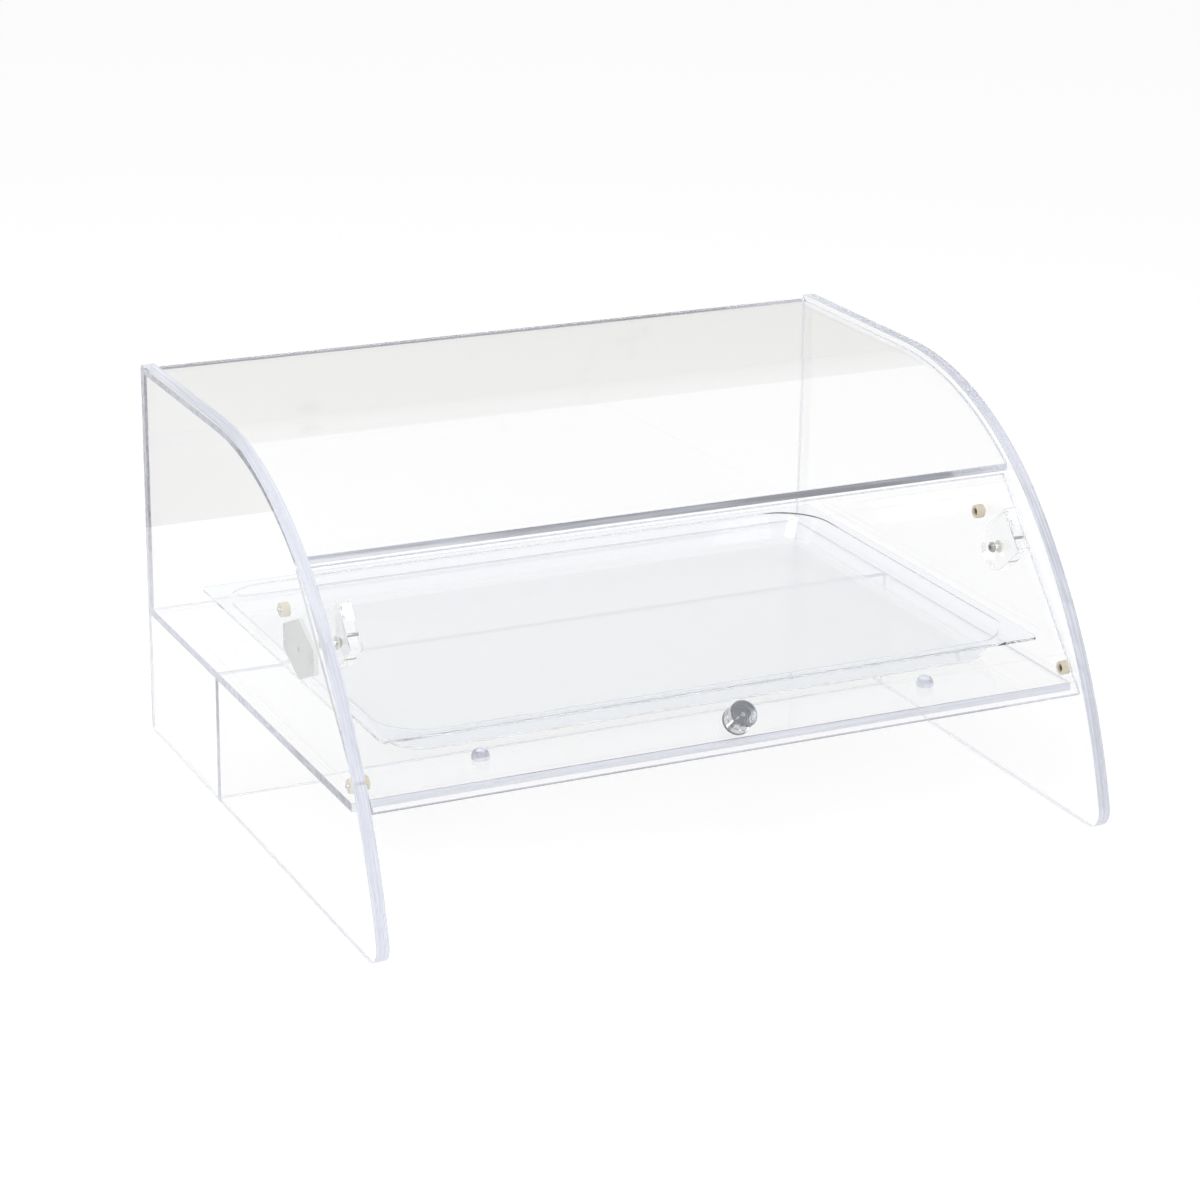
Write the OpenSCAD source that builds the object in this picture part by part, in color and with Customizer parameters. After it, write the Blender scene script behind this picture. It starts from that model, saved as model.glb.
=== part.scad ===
// Countertop bread display bin: a bonded case of clear sheet with a bent top shield,
// a flap door that tilts up on two pivots, and a loose tray on the shelf.
// X runs across with 0 in the middle, the front faces -Y, Z is up and the counter is Z = 0.
// Side outlines are drawn as [Y, Z] and extruded across. Sizes are in millimetres.

/* [Case] */
// Overall width over both end panels
case_width = 724; // [640:1:860]
// Overall depth from the back face to the front feet
case_depth = 589; // [560:1:660]
// Overall height above the counter
case_height = 371; // [350:1:420]
// Thickness of each end panel
end_panel_thick = 12; // [8:0.5:16]
// Radius of the brow, the tighter upper bend of the end panels
brow_radius = 340; // [300:5:350]
// Angle that the brow bend turns through
brow_sweep = 46; // [42:1:50]
// Radius of the long front curve below the brow
front_radius = 560; // [480:5:640]
// Radius of each front foot
foot_radius = 18; // [8:1:30]
// Radius of the upper rear corner of the end panels
rear_top_radius = 6; // [2:0.5:12]
// Radius of the lower rear corner of the end panels
rear_foot_radius = 4; // [2:0.5:12]

/* [Sheets] */
// Height of the shelf's top face above the counter
shelf_height = 125.5; // [100:0.5:140]
// Distance of the shelf's front edge behind the front feet
shelf_setback = 61; // [50:1:80]
// Thickness of the shelf
shelf_thick = 8; // [5:0.5:12]
// Thickness of the back panel
back_thick = 8; // [5:0.5:12]
// Thickness of the upright panel under the shelf
riser_thick = 8; // [5:0.5:12]
// Distance of the upright panel's rear face from the back face
riser_setback = 186; // [120:1:260]
// Thickness of the bent top shield
shield_thick = 6; // [4:0.5:8]
// How far the shield lies inside the end panels' edge
shield_inset = 5; // [2:0.5:10]
// Angle of the brow bend that the shield covers
shield_sweep = 36; // [34:0.5:38]

/* [Door] */
// Thickness of the door sheet
door_thick = 6; // [4:0.5:8]
// Gap between the door's sides and the end panels
door_side_gap = 2; // [1:0.25:4]
// Gap between the door's top edge and the shield's lower end
door_top_gap = 2; // [1:0.25:4]
// How far the door's top edge lies behind the shield's lower end
door_tuck = 1; // [0:0.25:3]
// Distance of the door's lower outer edge in front of the shelf
door_overhang = 22; // [18:0.5:26]
// Distance of the door's lower outer edge below the shelf's top face
door_drop = 1.5; // [0:0.5:6]
// Angle that the door opens before it meets the upper bumpers
door_open_angle = 62; // [50:1:66]

/* [Hinge blocks and pivots] */
// Thickness of each hinge block
block_thick = 12; // [10:0.5:16]
// How much further inward the left hinge block stands than the right one
left_block_inset = 20; // [16:0.5:30]
// Distance of the block's upper side below the door's top edge
block_drop = 34.5; // [30:0.5:40]
// Height of the block along the door
block_length = 45; // [40:1:50]
// Distance of the pivot behind the door's inner face
pivot_reach = 37.5; // [32:0.5:42]
// Diameter of the pivot screw's shank
pivot_diameter = 5; // [4:0.5:6]
// Radial running clearance of the block on the pivot shank
pivot_clearance = 0.05; // [0.02:0.01:0.1]
// Depth of the tapped hole in the end panel
pivot_hole_depth = 9; // [6:0.5:9]
// Diameter of the pivot screw's pan head
pivot_head_diameter = 10; // [8:0.5:12]
// Height of the pivot screw's pan head
pivot_head_height = 3.4; // [2.5:0.1:4.5]
// Diameter of the washer between block and end panel
washer_diameter = 12; // [10:0.5:14]
// Thickness of that washer
washer_thick = 1.2; // [0.8:0.1:2]
// Free play of the block along the pivot on each side
block_end_play = 0.3; // [0.1:0.05:0.5]

/* [Left pivot plate] */
// Thickness of the plate that carries the left pivot screw
plate_thick = 4; // [3:0.5:8]
// Height of the plate at the pivot
plate_height = 56; // [46:1:60]
// Height of the plate at each end
plate_end_height = 22; // [16:1:24]
// Gap between the plate's upper front corner and the closed door
plate_door_gap = 2; // [1:0.25:4]
// Distance of each plate screw from the plate's end
plate_screw_inset = 7.5; // [6:0.5:10]
// Diameter of the plate screw's shank
plate_screw_diameter = 3; // [2:0.5:4]
// Diameter of the plate screw's pan head
plate_head_diameter = 5.6; // [5:0.2:7]
// Height of the plate screw's pan head
plate_head_height = 2; // [1.5:0.1:2.6]
// Depth of the plate screw's tapped hole in the end panel
plate_hole_depth = 5; // [3:0.5:7]

/* [Bumpers] */
// Diameter of each bumper
bumper_diameter = 13; // [10:0.5:16]
// Length of each bumper
bumper_length = 8; // [6:0.5:11]
// Diameter of the recess for the screw head
bumper_recess_diameter = 7.6; // [7:0.1:8.6]
// Depth of the recess for the screw head
bumper_recess_depth = 4.6; // [3.5:0.1:5]
// Distance of the upper bumper below the door's top edge when the door is fully open
upper_bumper_drop = 19; // [12:0.5:22]
// Distance of the lower bumpers above the door's lower edge
lower_bumper_rise = 30; // [26:0.5:40]
// Gap between the closed or open door and its bumpers
bumper_gap = 0.2; // [0.1:0.05:0.5]
// Diameter of the bumper screw's shank
bumper_screw_diameter = 4; // [3:0.5:4.5]
// Diameter of the bumper screw's socket head
bumper_head_diameter = 6.8; // [6:0.1:7.4]
// Height of the bumper screw's socket head
bumper_head_height = 2.8; // [2:0.1:3.4]
// Depth of the bumper screw's tapped hole in the end panel
bumper_hole_depth = 7; // [4:0.5:7.5]

/* [Knob] */
// Diameter of the knob
knob_diameter = 25.4; // [18:0.1:34]
// Length of the clear part of the knob
knob_length = 19; // [14:0.5:30]
// Radius of the knob's rounded outer edge
knob_edge_radius = 3; // [1:0.25:5]
// Distance of the knob's centre above the door's lower edge
knob_rise = 27; // [20:0.5:60]
// Thickness of the turned plate under the knob
knob_plate_thick = 2; // [1.5:0.1:4]
// Width of the plate's rim that stands proud of the knob's foot
knob_plate_margin = 0.4; // [0:0.1:1.5]
// Spacing of the turned rings in the plate's face
knob_ring_pitch = 2.2; // [1.6:0.1:4]
// Depth of the turned rings in the plate's face
knob_ring_depth = 0.4; // [0.2:0.1:0.8]
// Diameter of the knob screw's shank
knob_screw_diameter = 4; // [3:0.5:5]
// Diameter of the knob screw's head
knob_head_diameter = 8; // [6:0.5:9]
// Height of the knob screw's head
knob_head_height = 2.4; // [1.5:0.1:3]
// Length of the knob screw inside the knob
knob_screw_grip = 11; // [6:0.5:12]

/* [Tray] */
// Total sideways play of the tray between the end panels
tray_side_play = 44; // [32:1:90]
// How far the tray lies to the right of the middle
tray_shift = 15; // [-15:1:15]
// Gap between the tray's rim and the back panel
tray_rear_gap = 33; // [10:1:60]
// Distance of the tray's front rim behind the shelf's front edge
tray_front_setback = 47; // [44:1:80]
// Height of the tray's rim above the shelf
tray_height = 27; // [20:0.5:40]
// Wall thickness of the tray
tray_wall = 2.5; // [1.5:0.25:4]
// Width of the tray's flat rim
tray_rim_width = 13; // [8:0.5:20]
// Radius of the rim's outer corners
tray_rim_radius = 6; // [2:0.5:12]
// Radius of the well's corners at the rim
tray_well_radius = 48; // [30:1:70]
// How far the well's side walls lean in from rim to floor
tray_lean = 18; // [8:0.5:24]

/* [Tray pegs] */
// Distance of each peg from the middle
peg_offset = 222; // [120:1:260]
// Distance of the pegs behind the shelf's front edge
peg_setback = 47; // [40:1:54]
// Diameter of each peg
peg_diameter = 16; // [10:0.5:18]
// Height of each peg
peg_height = 10; // [9.5:0.5:14]

/* [Hidden] */
$fn = 96;
big_fn = 240;
// Length by which a cutter passes the face it cuts
over = 1;
// Radial room round a screw in its tapped hole and in a plain hole, and past its tip
thread_gap = 0.03;
plain_hole_gap = 0.05;
tip_gap = 0.5;
// Shares that screw heads give to their round edge, recess length, width and depth
head_edge_share = 0.6;
recess_length_share = 0.9;
recess_width_share = 0.25;
recess_depth_share = 0.5;
socket_width_share = 0.8;

// Case frame: half sizes, the inner faces and the rear face
half_width = case_width / 2;
inner_half = half_width - end_panel_thick;
rear_y = case_depth / 2;

// Side outline: brow centre and end, front curve centre, foot centre and tangent point
brow_drop = brow_radius * (1 - cos(brow_sweep));
brow_run = brow_radius * sin(brow_sweep);
front_centre_z = case_height - brow_drop - front_radius * cos(brow_sweep);
foot_run = sqrt(pow(front_radius - foot_radius, 2) - pow(foot_radius - front_centre_z, 2));
front_reach = brow_run - front_radius * sin(brow_sweep) + foot_run + foot_radius;
flat_length = case_depth - front_reach;
brow_centre = [rear_y - flat_length, case_height - brow_radius];
brow_end = [brow_centre.x - brow_run, case_height - brow_drop];
front_centre = [brow_end.x + front_radius * sin(brow_sweep), front_centre_z];
foot_centre = [foot_radius - rear_y, foot_radius];
foot_tangent = front_centre + (foot_centre - front_centre) * front_radius / (front_radius - foot_radius);

// Shelf, shield end and the room under the shield
shelf_under = shelf_height - shelf_thick;
shelf_depth = case_depth - shelf_setback;
shelf_front_y = rear_y - shelf_depth;
shield_top = case_height - shield_inset;
shield_under = shield_top - shield_thick;
shield_outer_radius = brow_radius - shield_inset;
shield_inner_radius = shield_outer_radius - shield_thick;
shield_end_y = brow_centre.x - shield_outer_radius * sin(shield_sweep);
shield_end_under = brow_centre.y
    + sqrt(pow(shield_inner_radius, 2) - pow(brow_centre.x - shield_end_y, 2));

// Door frame: its upper outer edge, lower outer edge, length, lean and side width
door_top = [shield_end_y + door_tuck, shield_end_under - door_top_gap];
door_foot = [shelf_front_y - door_overhang, shelf_height - door_drop];
door_length = norm(door_top - door_foot);
door_lean = atan2(door_top.y - door_foot.y, door_top.x - door_foot.x);
door_half = inner_half - door_side_gap;

// Pivot in the door frame, as [height up the door from its top edge, distance outward]
pivot_up = -(block_drop + block_length / 2);
pivot_out = -(door_thick + pivot_reach);
pivot_yz = door_top + turned([pivot_up, pivot_out], door_lean);
washer_face = inner_half - washer_thick;
block_outer = washer_face - block_end_play;
pivot_hole_radius = pivot_diameter / 2 + pivot_clearance;

// Left side: the block stands further in, and its pivot screw is tapped into a plate whose
// upper front corner keeps clear of the closed door
left_block_outer = block_outer - left_block_inset;
plate_face = inner_half - plate_thick;
plate_half = (pivot_reach - plate_door_gap - plate_end_height / 2 * cos(door_lean)) / sin(door_lean);
plate_screw_run = plate_half - plate_screw_inset;

// Bumpers: the lower pair meets the closed door, the upper pair meets it fully open
bumper_stand = door_thick + bumper_gap + bumper_diameter / 2;
lower_bumper_yz = door_top + turned([lower_bumper_rise - door_length, -bumper_stand], door_lean);
upper_bumper_yz = pivot_yz
    + turned([-upper_bumper_drop - pivot_up, -bumper_stand - pivot_out], door_lean - door_open_angle);

// Tray: rim and well, with the thickness of the slices that its forms are drawn between
tray_width = 2 * inner_half - tray_side_play;
tray_rear_y = rear_y - back_thick - tray_rear_gap;
tray_front_y = shelf_front_y + tray_front_setback;
tray_depth = tray_rear_y - tray_front_y;
tray_mid = [tray_shift, (tray_rear_y + tray_front_y) / 2, shelf_height];
well_width = tray_width - 2 * tray_rim_width;
well_depth = tray_depth - 2 * tray_rim_width;
slice = 0.01;
hull_fn = 32;

// Finishes
clear = [0.90, 0.93, 0.98, 0.35];
clear_edge = [0.80, 0.84, 0.95, 0.55];
clear_tray = [0.92, 0.94, 0.97, 0.4];
steel = [0.72, 0.72, 0.70];
turned_metal = [0.55, 0.56, 0.58];
dark_steel = [0.12, 0.11, 0.10];
nylon = [0.82, 0.77, 0.62];
plate_grey = [0.86, 0.87, 0.87];
white_nylon = [0.93, 0.93, 0.90];

// A vector turned by an angle
function turned(v, angle) =
    [v.x * cos(angle) - v.y * sin(angle), v.x * sin(angle) + v.y * cos(angle)];

// Extrudes a [Y, Z] outline across the case from x_from to x_to
module across(x_from, x_to) {
    translate([x_from, 0, 0])
        rotate([90, 0, 90])
            linear_extrude(height = x_to - x_from)
                children();
}

// Keeps a part as drawn for the right side, or mirrors it for the left side (side = -1)
module on_side(side) {
    if (side > 0) {
        children();
    } else {
        mirror([1, 0, 0]) children();
    }
}

// Moves a part into the door frame: X across, Y up the door from its top edge, Z outward
module in_door_frame() {
    translate([0, door_top.x, door_top.y])
        rotate([door_lean, 0, 0])
            children();
}

// A cylinder whose axis runs across the case, from x_from to x_to at a [Y, Z] point
module cross_pin(yz, x_from, x_to, radius) {
    translate([x_from, yz.x, yz.y])
        rotate([0, 90, 0])
            cylinder(h = x_to - x_from, r = radius);
}

// The waste outside a rounded square corner at a [Y, Z] point, inward along dir
module corner_waste(corner, dir, radius) {
    difference() {
        translate(corner - over * dir)
            grown_square(dir, radius + over);
        translate(corner + radius * dir)
            circle(r = radius);
    }
}

// A square of the given size that grows from the origin along the signs in dir
module grown_square(dir, size) {
    translate([dir.x < 0 ? -size : 0, dir.y < 0 ? -size : 0])
        square(size);
}

// Outline of an end panel: flat top, brow bend, long front curve and rounded foot
module end_outline() {
    difference() {
        intersection() {
            translate([-rear_y, 0])
                square([case_depth, case_height]);
            translate(front_centre)
                circle(r = front_radius, $fn = big_fn);
            union() {
                translate(brow_centre)
                    circle(r = brow_radius, $fn = big_fn);
                translate([brow_centre.x, 0])
                    square([flat_length, case_height]);
                polygon([brow_centre, brow_end,
                         brow_centre + 2 * (brow_end - brow_centre),
                         [-rear_y - case_depth, 0], [brow_centre.x, 0]]);
            }
        }
        difference() {
            polygon([foot_centre, foot_centre + 2 * (foot_tangent - foot_centre),
                     [-rear_y - foot_radius, -over], [foot_centre.x, -over]]);
            translate(foot_centre)
                circle(r = foot_radius);
        }
        corner_waste([rear_y, case_height], [-1, -1], rear_top_radius);
        corner_waste([rear_y, 0], [-1, 1], rear_foot_radius);
    }
}

// An end panel drawn for the right side, with its tapped bumper holes
module end_panel() {
    difference() {
        across(inner_half, half_width)
            end_outline();
        for (yz = [upper_bumper_yz, lower_bumper_yz]) {
            cross_pin(yz, inner_half - over, inner_half + bumper_hole_depth,
                      bumper_screw_diameter / 2 + thread_gap);
        }
    }
}

// The left end panel is tapped for the two screws of its pivot plate
module left_end_panel() {
    color(clear_edge)
    on_side(-1)
    difference() {
        end_panel();
        for (run = [-plate_screw_run, plate_screw_run]) {
            cross_pin(pivot_yz + [run, 0], inner_half - over, inner_half + plate_hole_depth,
                      plate_screw_diameter / 2 + thread_gap);
        }
    }
}

// The right end panel is tapped for its pivot screw
module right_end_panel() {
    color(clear_edge)
    difference() {
        end_panel();
        cross_pin(pivot_yz, inner_half - over, inner_half + pivot_hole_depth,
                  pivot_diameter / 2 + thread_gap);
    }
}

// The upright back panel stands on the shelf and carries the shield's rear edge
module back_panel() {
    color(clear)
    translate([-inner_half, rear_y - back_thick, shelf_height])
        cube([2 * inner_half, back_thick, shield_under - shelf_height]);
}

// The top shield: a flat rear part and a bend that follows the brow, cut upright at its end
module curved_shield() {
    color(clear)
    across(-inner_half, inner_half) {
        translate([brow_centre.x, shield_under])
            square([flat_length, shield_thick]);
        intersection() {
            difference() {
                translate(brow_centre)
                    circle(r = shield_outer_radius, $fn = big_fn);
                translate(brow_centre)
                    circle(r = shield_inner_radius, $fn = big_fn);
            }
            translate([shield_end_y, brow_centre.y])
                square([brow_centre.x - shield_end_y, brow_radius]);
        }
    }
}

module shelf() {
    color(clear)
    translate([-inner_half, shelf_front_y, shelf_under])
        cube([2 * inner_half, shelf_depth, shelf_thick]);
}

// The upright panel that carries the shelf and parts the front and rear bays
module riser_panel() {
    color(clear)
    translate([-inner_half, rear_y - riser_setback - riser_thick, 0])
        cube([2 * inner_half, riser_thick, shelf_under]);
}

// The flat flap door, drilled for the knob screw
module door_panel() {
    color(clear)
    in_door_frame()
    difference() {
        translate([-door_half, -door_length, -door_thick])
            cube([2 * door_half, door_length, door_thick]);
        translate([0, knob_rise - door_length, -door_thick - over])
            cylinder(h = door_thick + 2 * over, r = knob_screw_diameter / 2 + plain_hole_gap);
    }
}

// Side outline of a hinge block as [Y, Z] in the door frame, with a round rear end
module block_outline() {
    difference() {
        union() {
            translate([pivot_up - block_length / 2, pivot_out])
                square([block_length, pivot_reach]);
            translate([pivot_up, pivot_out])
                circle(r = block_length / 2);
        }
        translate([pivot_up, pivot_out])
            circle(r = pivot_hole_radius);
    }
}

// A hinge block, bonded behind the door and turning on its pivot screw
module hinge_block(side, outer) {
    color(clear_edge)
    on_side(side)
    in_door_frame()
    across(outer - block_thick, outer)
        block_outline();
}

module left_hinge_block() {
    hinge_block(-1, left_block_outer);
}

module right_hinge_block() {
    hinge_block(1, block_outer);
}

// A pan-head screw across the case: rounded head, crossed recess and plain shank.
// Its head looks inward from head_face, and its shank runs outward to shank_end.
module pan_screw(yz, head_face, shank_end, shank_diameter, head_diameter, head_height) {
    slot_width = shank_diameter * recess_width_share;
    slot_length = shank_diameter * recess_length_share;
    slot_depth = head_height * recess_depth_share;
    color(steel)
    difference() {
        union() {
            cross_pin(yz, head_face, shank_end, shank_diameter / 2);
            translate([head_face, yz.x, yz.y])
                rotate([0, -90, 0])
                    pan_head(head_diameter / 2, head_height);
        }
        translate([head_face - head_height, yz.x, yz.y])
            for (turn = [0, 90]) {
                rotate([turn + door_lean, 0, 0])
                    cube([2 * slot_depth, slot_length, slot_width], center = true);
            }
    }
}

// A turned pan head standing on Z = 0
module pan_head(radius, height) {
    edge = height * head_edge_share;
    rotate_extrude()
        intersection() {
            square([radius, height]);
            union() {
                square([radius - edge, height]);
                square([radius, height - edge]);
                translate([radius - edge, height - edge])
                    circle(r = edge);
            }
        }
}

// The left pivot screw carries a washer under its head and is tapped into the pivot plate
module left_pivot_screw() {
    head_face = left_block_outer - block_thick - block_end_play - washer_thick;
    on_side(-1)
        pan_screw(pivot_yz, head_face, inner_half - tip_gap, pivot_diameter,
                  pivot_head_diameter, pivot_head_height);
}

// The right pivot screw is tapped into the end panel
module right_pivot_screw() {
    head_face = block_outer - block_thick - block_end_play;
    pan_screw(pivot_yz, head_face, inner_half + pivot_hole_depth - tip_gap, pivot_diameter,
              pivot_head_diameter, pivot_head_height);
}

// The six-sided plate on the left end panel, tapped for the pivot screw and drilled for its own
module left_pivot_plate() {
    end = plate_end_height / 2;
    color(plate_grey)
    on_side(-1)
    difference() {
        translate([0, pivot_yz.x, pivot_yz.y])
            across(plate_face, inner_half)
                polygon([[plate_half, end], [0, plate_height / 2], [-plate_half, end],
                         [-plate_half, -end], [0, -plate_height / 2], [plate_half, -end]]);
        cross_pin(pivot_yz, plate_face - over, inner_half + over, pivot_diameter / 2 + thread_gap);
        for (run = [-plate_screw_run, plate_screw_run]) {
            cross_pin(pivot_yz + [run, 0], plate_face - over, inner_half + over,
                      plate_screw_diameter / 2 + plain_hole_gap);
        }
    }
}

// A screw that holds the pivot plate on the left end panel, in front of the pivot or behind it
module plate_screw(run) {
    on_side(-1)
        pan_screw(pivot_yz + [run, 0], plate_face, inner_half + plate_hole_depth - tip_gap,
                  plate_screw_diameter, plate_head_diameter, plate_head_height);
}

module left_plate_front_screw() {
    plate_screw(-plate_screw_run);
}

module left_plate_rear_screw() {
    plate_screw(plate_screw_run);
}

// A nylon washer on a pivot screw, from x_from outward
module pivot_washer(x_from) {
    color(white_nylon)
    difference() {
        cross_pin(pivot_yz, x_from, x_from + washer_thick, washer_diameter / 2);
        cross_pin(pivot_yz, x_from - over, x_from + washer_thick + over, pivot_hole_radius);
    }
}

// The left washer lies under the screw's head, and the right one against the end panel
module left_pivot_washer() {
    on_side(-1)
        pivot_washer(left_block_outer - block_thick - block_end_play - washer_thick);
}

module right_pivot_washer() {
    pivot_washer(washer_face);
}

// A bumper with a recessed screw hole, standing on the right end panel's inner face
module bumper(side, yz) {
    face = inner_half - bumper_length;
    color(nylon)
    on_side(side)
    difference() {
        cross_pin(yz, face, inner_half, bumper_diameter / 2);
        cross_pin(yz, face - over, face + bumper_recess_depth, bumper_recess_diameter / 2);
        cross_pin(yz, face, inner_half + over, bumper_screw_diameter / 2 + plain_hole_gap);
    }
}

module upper_left_bumper() {
    bumper(-1, upper_bumper_yz);
}

module upper_right_bumper() {
    bumper(1, upper_bumper_yz);
}

module lower_left_bumper() {
    bumper(-1, lower_bumper_yz);
}

module lower_right_bumper() {
    bumper(1, lower_bumper_yz);
}

// A socket-head screw seated on the floor of a bumper's recess
module bumper_screw(side, yz) {
    seat = inner_half - bumper_length + bumper_recess_depth;
    shank_end = inner_half + bumper_hole_depth - tip_gap;
    socket_radius = bumper_screw_diameter / 2 * socket_width_share;
    socket_depth = bumper_head_height * recess_depth_share;
    color(dark_steel)
    on_side(side)
    difference() {
        union() {
            cross_pin(yz, seat - bumper_head_height, seat, bumper_head_diameter / 2);
            cross_pin(yz, seat - bumper_head_height / 2, shank_end, bumper_screw_diameter / 2);
        }
        translate([seat - bumper_head_height - over, yz.x, yz.y])
            rotate([0, 90, 0])
                cylinder(h = socket_depth + over, r = socket_radius, $fn = 6);
    }
}

module upper_left_bumper_screw() {
    bumper_screw(-1, upper_bumper_yz);
}

module upper_right_bumper_screw() {
    bumper_screw(1, upper_bumper_yz);
}

module lower_left_bumper_screw() {
    bumper_screw(-1, lower_bumper_yz);
}

module lower_right_bumper_screw() {
    bumper_screw(1, lower_bumper_yz);
}

// Moves a part to the knob's place: Z outward from the door's outer face
module at_knob() {
    in_door_frame()
        translate([0, knob_rise - door_length, 0])
            children();
}

// The turned plate under the knob, with shallow rings cut in its face
module knob_plate() {
    plate_radius = knob_diameter / 2 + knob_plate_margin;
    ring_count = floor((knob_diameter - knob_screw_diameter - knob_ring_pitch) / 2 / knob_ring_pitch);
    color(turned_metal)
    at_knob()
    difference() {
        cylinder(h = knob_plate_thick, r = plate_radius);
        translate([0, 0, -over])
            cylinder(h = knob_plate_thick + 2 * over, r = knob_screw_diameter / 2 + plain_hole_gap);
        for (ring = [1 : ring_count]) {
            ring_radius = knob_screw_diameter / 2 + ring * knob_ring_pitch;
            translate([0, 0, knob_plate_thick - knob_ring_depth])
                linear_extrude(height = knob_ring_depth + over)
                    difference() {
                        circle(r = ring_radius);
                        circle(r = ring_radius - knob_ring_pitch / 2);
                    }
        }
    }
}

// The clear knob: a short cylinder with a rounded outer edge and a blind screw hole
module knob() {
    radius = knob_diameter / 2;
    edge = knob_edge_radius;
    hole = knob_screw_diameter / 2 + thread_gap;
    color(clear_edge)
    at_knob()
    translate([0, 0, knob_plate_thick])
        rotate_extrude()
            difference() {
                union() {
                    square([radius - edge, knob_length]);
                    square([radius, knob_length - edge]);
                    translate([radius - edge, knob_length - edge])
                        circle(r = edge);
                }
                translate([0, -over])
                    square([hole, knob_screw_grip + tip_gap + over]);
            }
}

// The pan-head screw that holds the knob from behind the door
module knob_screw() {
    shank = door_thick + knob_plate_thick + knob_screw_grip;
    color(steel)
    at_knob()
    translate([0, 0, -door_thick])
        union() {
            cylinder(h = shank, r = knob_screw_diameter / 2);
            mirror([0, 0, 1])
                pan_head(knob_head_diameter / 2, knob_head_height);
        }
}

// A domed peg on the shelf that stops the tray from sliding forward
module tray_peg(side) {
    radius = peg_diameter / 2;
    color(clear_edge)
    on_side(side)
    translate([peg_offset, shelf_front_y + peg_setback, shelf_height]) {
        cylinder(h = peg_height - radius, r = radius);
        translate([0, 0, peg_height - radius])
            intersection() {
                sphere(r = radius);
                translate([-radius, -radius, 0])
                    cube(2 * radius);
            }
    }
}

module left_tray_peg() {
    tray_peg(-1);
}

module right_tray_peg() {
    tray_peg(1);
}

// A flat rectangle with round corners, centred
module round_plate(width, depth, radius, thick) {
    linear_extrude(height = thick) {
        square([width - 2 * radius, depth], center = true);
        square([width, depth - 2 * radius], center = true);
        for (x = [-1, 1], y = [-1, 1]) {
            translate([x * (width / 2 - radius), y * (depth / 2 - radius)])
                circle(r = radius);
        }
    }
}

// The solid of the tray's well, drawn in by inset on every wall and lifted off the floor
module well_form(inset, floor_z, top_z) {
    floor_radius = tray_well_radius - tray_lean;
    hull() {
        translate([0, 0, top_z - slice])
            round_plate(well_width - 2 * inset, well_depth - 2 * inset,
                        tray_well_radius - inset, slice, $fn = hull_fn);
        translate([0, 0, floor_z])
            round_plate(well_width - 2 * (inset + tray_lean), well_depth - 2 * (inset + tray_lean),
                        floor_radius - inset, slice, $fn = hull_fn);
    }
}

// The loose tray: a flat rim with crisp corners round a well with leaning walls
module tray() {
    color(clear_tray)
    translate(tray_mid)
    difference() {
        union() {
            translate([0, 0, tray_height - tray_wall])
                round_plate(tray_width, tray_depth, tray_rim_radius, tray_wall);
            well_form(0, 0, tray_height);
        }
        well_form(tray_wall, tray_wall, tray_height + slice);
    }
}

left_end_panel();
right_end_panel();
back_panel();
curved_shield();
shelf();
riser_panel();
door_panel();
left_hinge_block();
right_hinge_block();
left_pivot_screw();
right_pivot_screw();
left_pivot_washer();
right_pivot_washer();
left_pivot_plate();
left_plate_front_screw();
left_plate_rear_screw();
upper_left_bumper();
upper_right_bumper();
lower_left_bumper();
lower_right_bumper();
upper_left_bumper_screw();
upper_right_bumper_screw();
lower_left_bumper_screw();
lower_right_bumper_screw();
knob_plate();
knob();
knob_screw();
left_tray_peg();
right_tray_peg();
tray();
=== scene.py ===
"""Countertop bread display bin: detailed meshes, finishes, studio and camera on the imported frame."""

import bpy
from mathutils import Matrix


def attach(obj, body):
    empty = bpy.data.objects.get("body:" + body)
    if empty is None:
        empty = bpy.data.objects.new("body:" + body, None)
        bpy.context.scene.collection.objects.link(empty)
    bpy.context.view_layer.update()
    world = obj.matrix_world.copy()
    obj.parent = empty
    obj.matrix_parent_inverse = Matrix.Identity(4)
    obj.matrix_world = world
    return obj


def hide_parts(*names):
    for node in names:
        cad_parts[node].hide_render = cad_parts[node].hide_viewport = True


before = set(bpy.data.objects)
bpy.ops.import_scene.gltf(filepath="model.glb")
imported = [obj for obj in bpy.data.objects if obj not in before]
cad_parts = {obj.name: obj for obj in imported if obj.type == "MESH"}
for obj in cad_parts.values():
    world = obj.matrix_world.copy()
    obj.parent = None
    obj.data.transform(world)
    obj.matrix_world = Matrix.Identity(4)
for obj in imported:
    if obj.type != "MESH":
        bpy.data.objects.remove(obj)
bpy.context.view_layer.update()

import logging
import math
from dataclasses import dataclass, field
from enum import Enum

import bmesh
import bpy
from mathutils import Matrix, Vector

log = logging.getLogger("bread_bin")
logging.basicConfig(level=logging.INFO, format="%(name)s: %(message)s")

MM = 0.001
IMAGE_SIDE = 1200
SAWN_EDGE = "sawn_edge"
SRGB_FULL, SRGB_TOE, SRGB_SLOPE, SRGB_LIFT, SRGB_POWER = 255, 0.04045, 12.92, 0.055, 2.4
# Points closer than this in millimetres are one, on a sketch and on a turned piece.
JOIN, TURNED_JOIN = 0.001, 0.0005
# Faces of one bend turn by more than the first and less than the second; a crease turns by more.
LEAST_TURN = 0.0005
STRIP_TURN = math.radians(9.0)
CREASE = math.radians(32.0)
POLISHED_COSINE = 0.99
# A drill goes this far past a sheet.
THROUGH = 1.0
HEXAGON = 6
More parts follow.
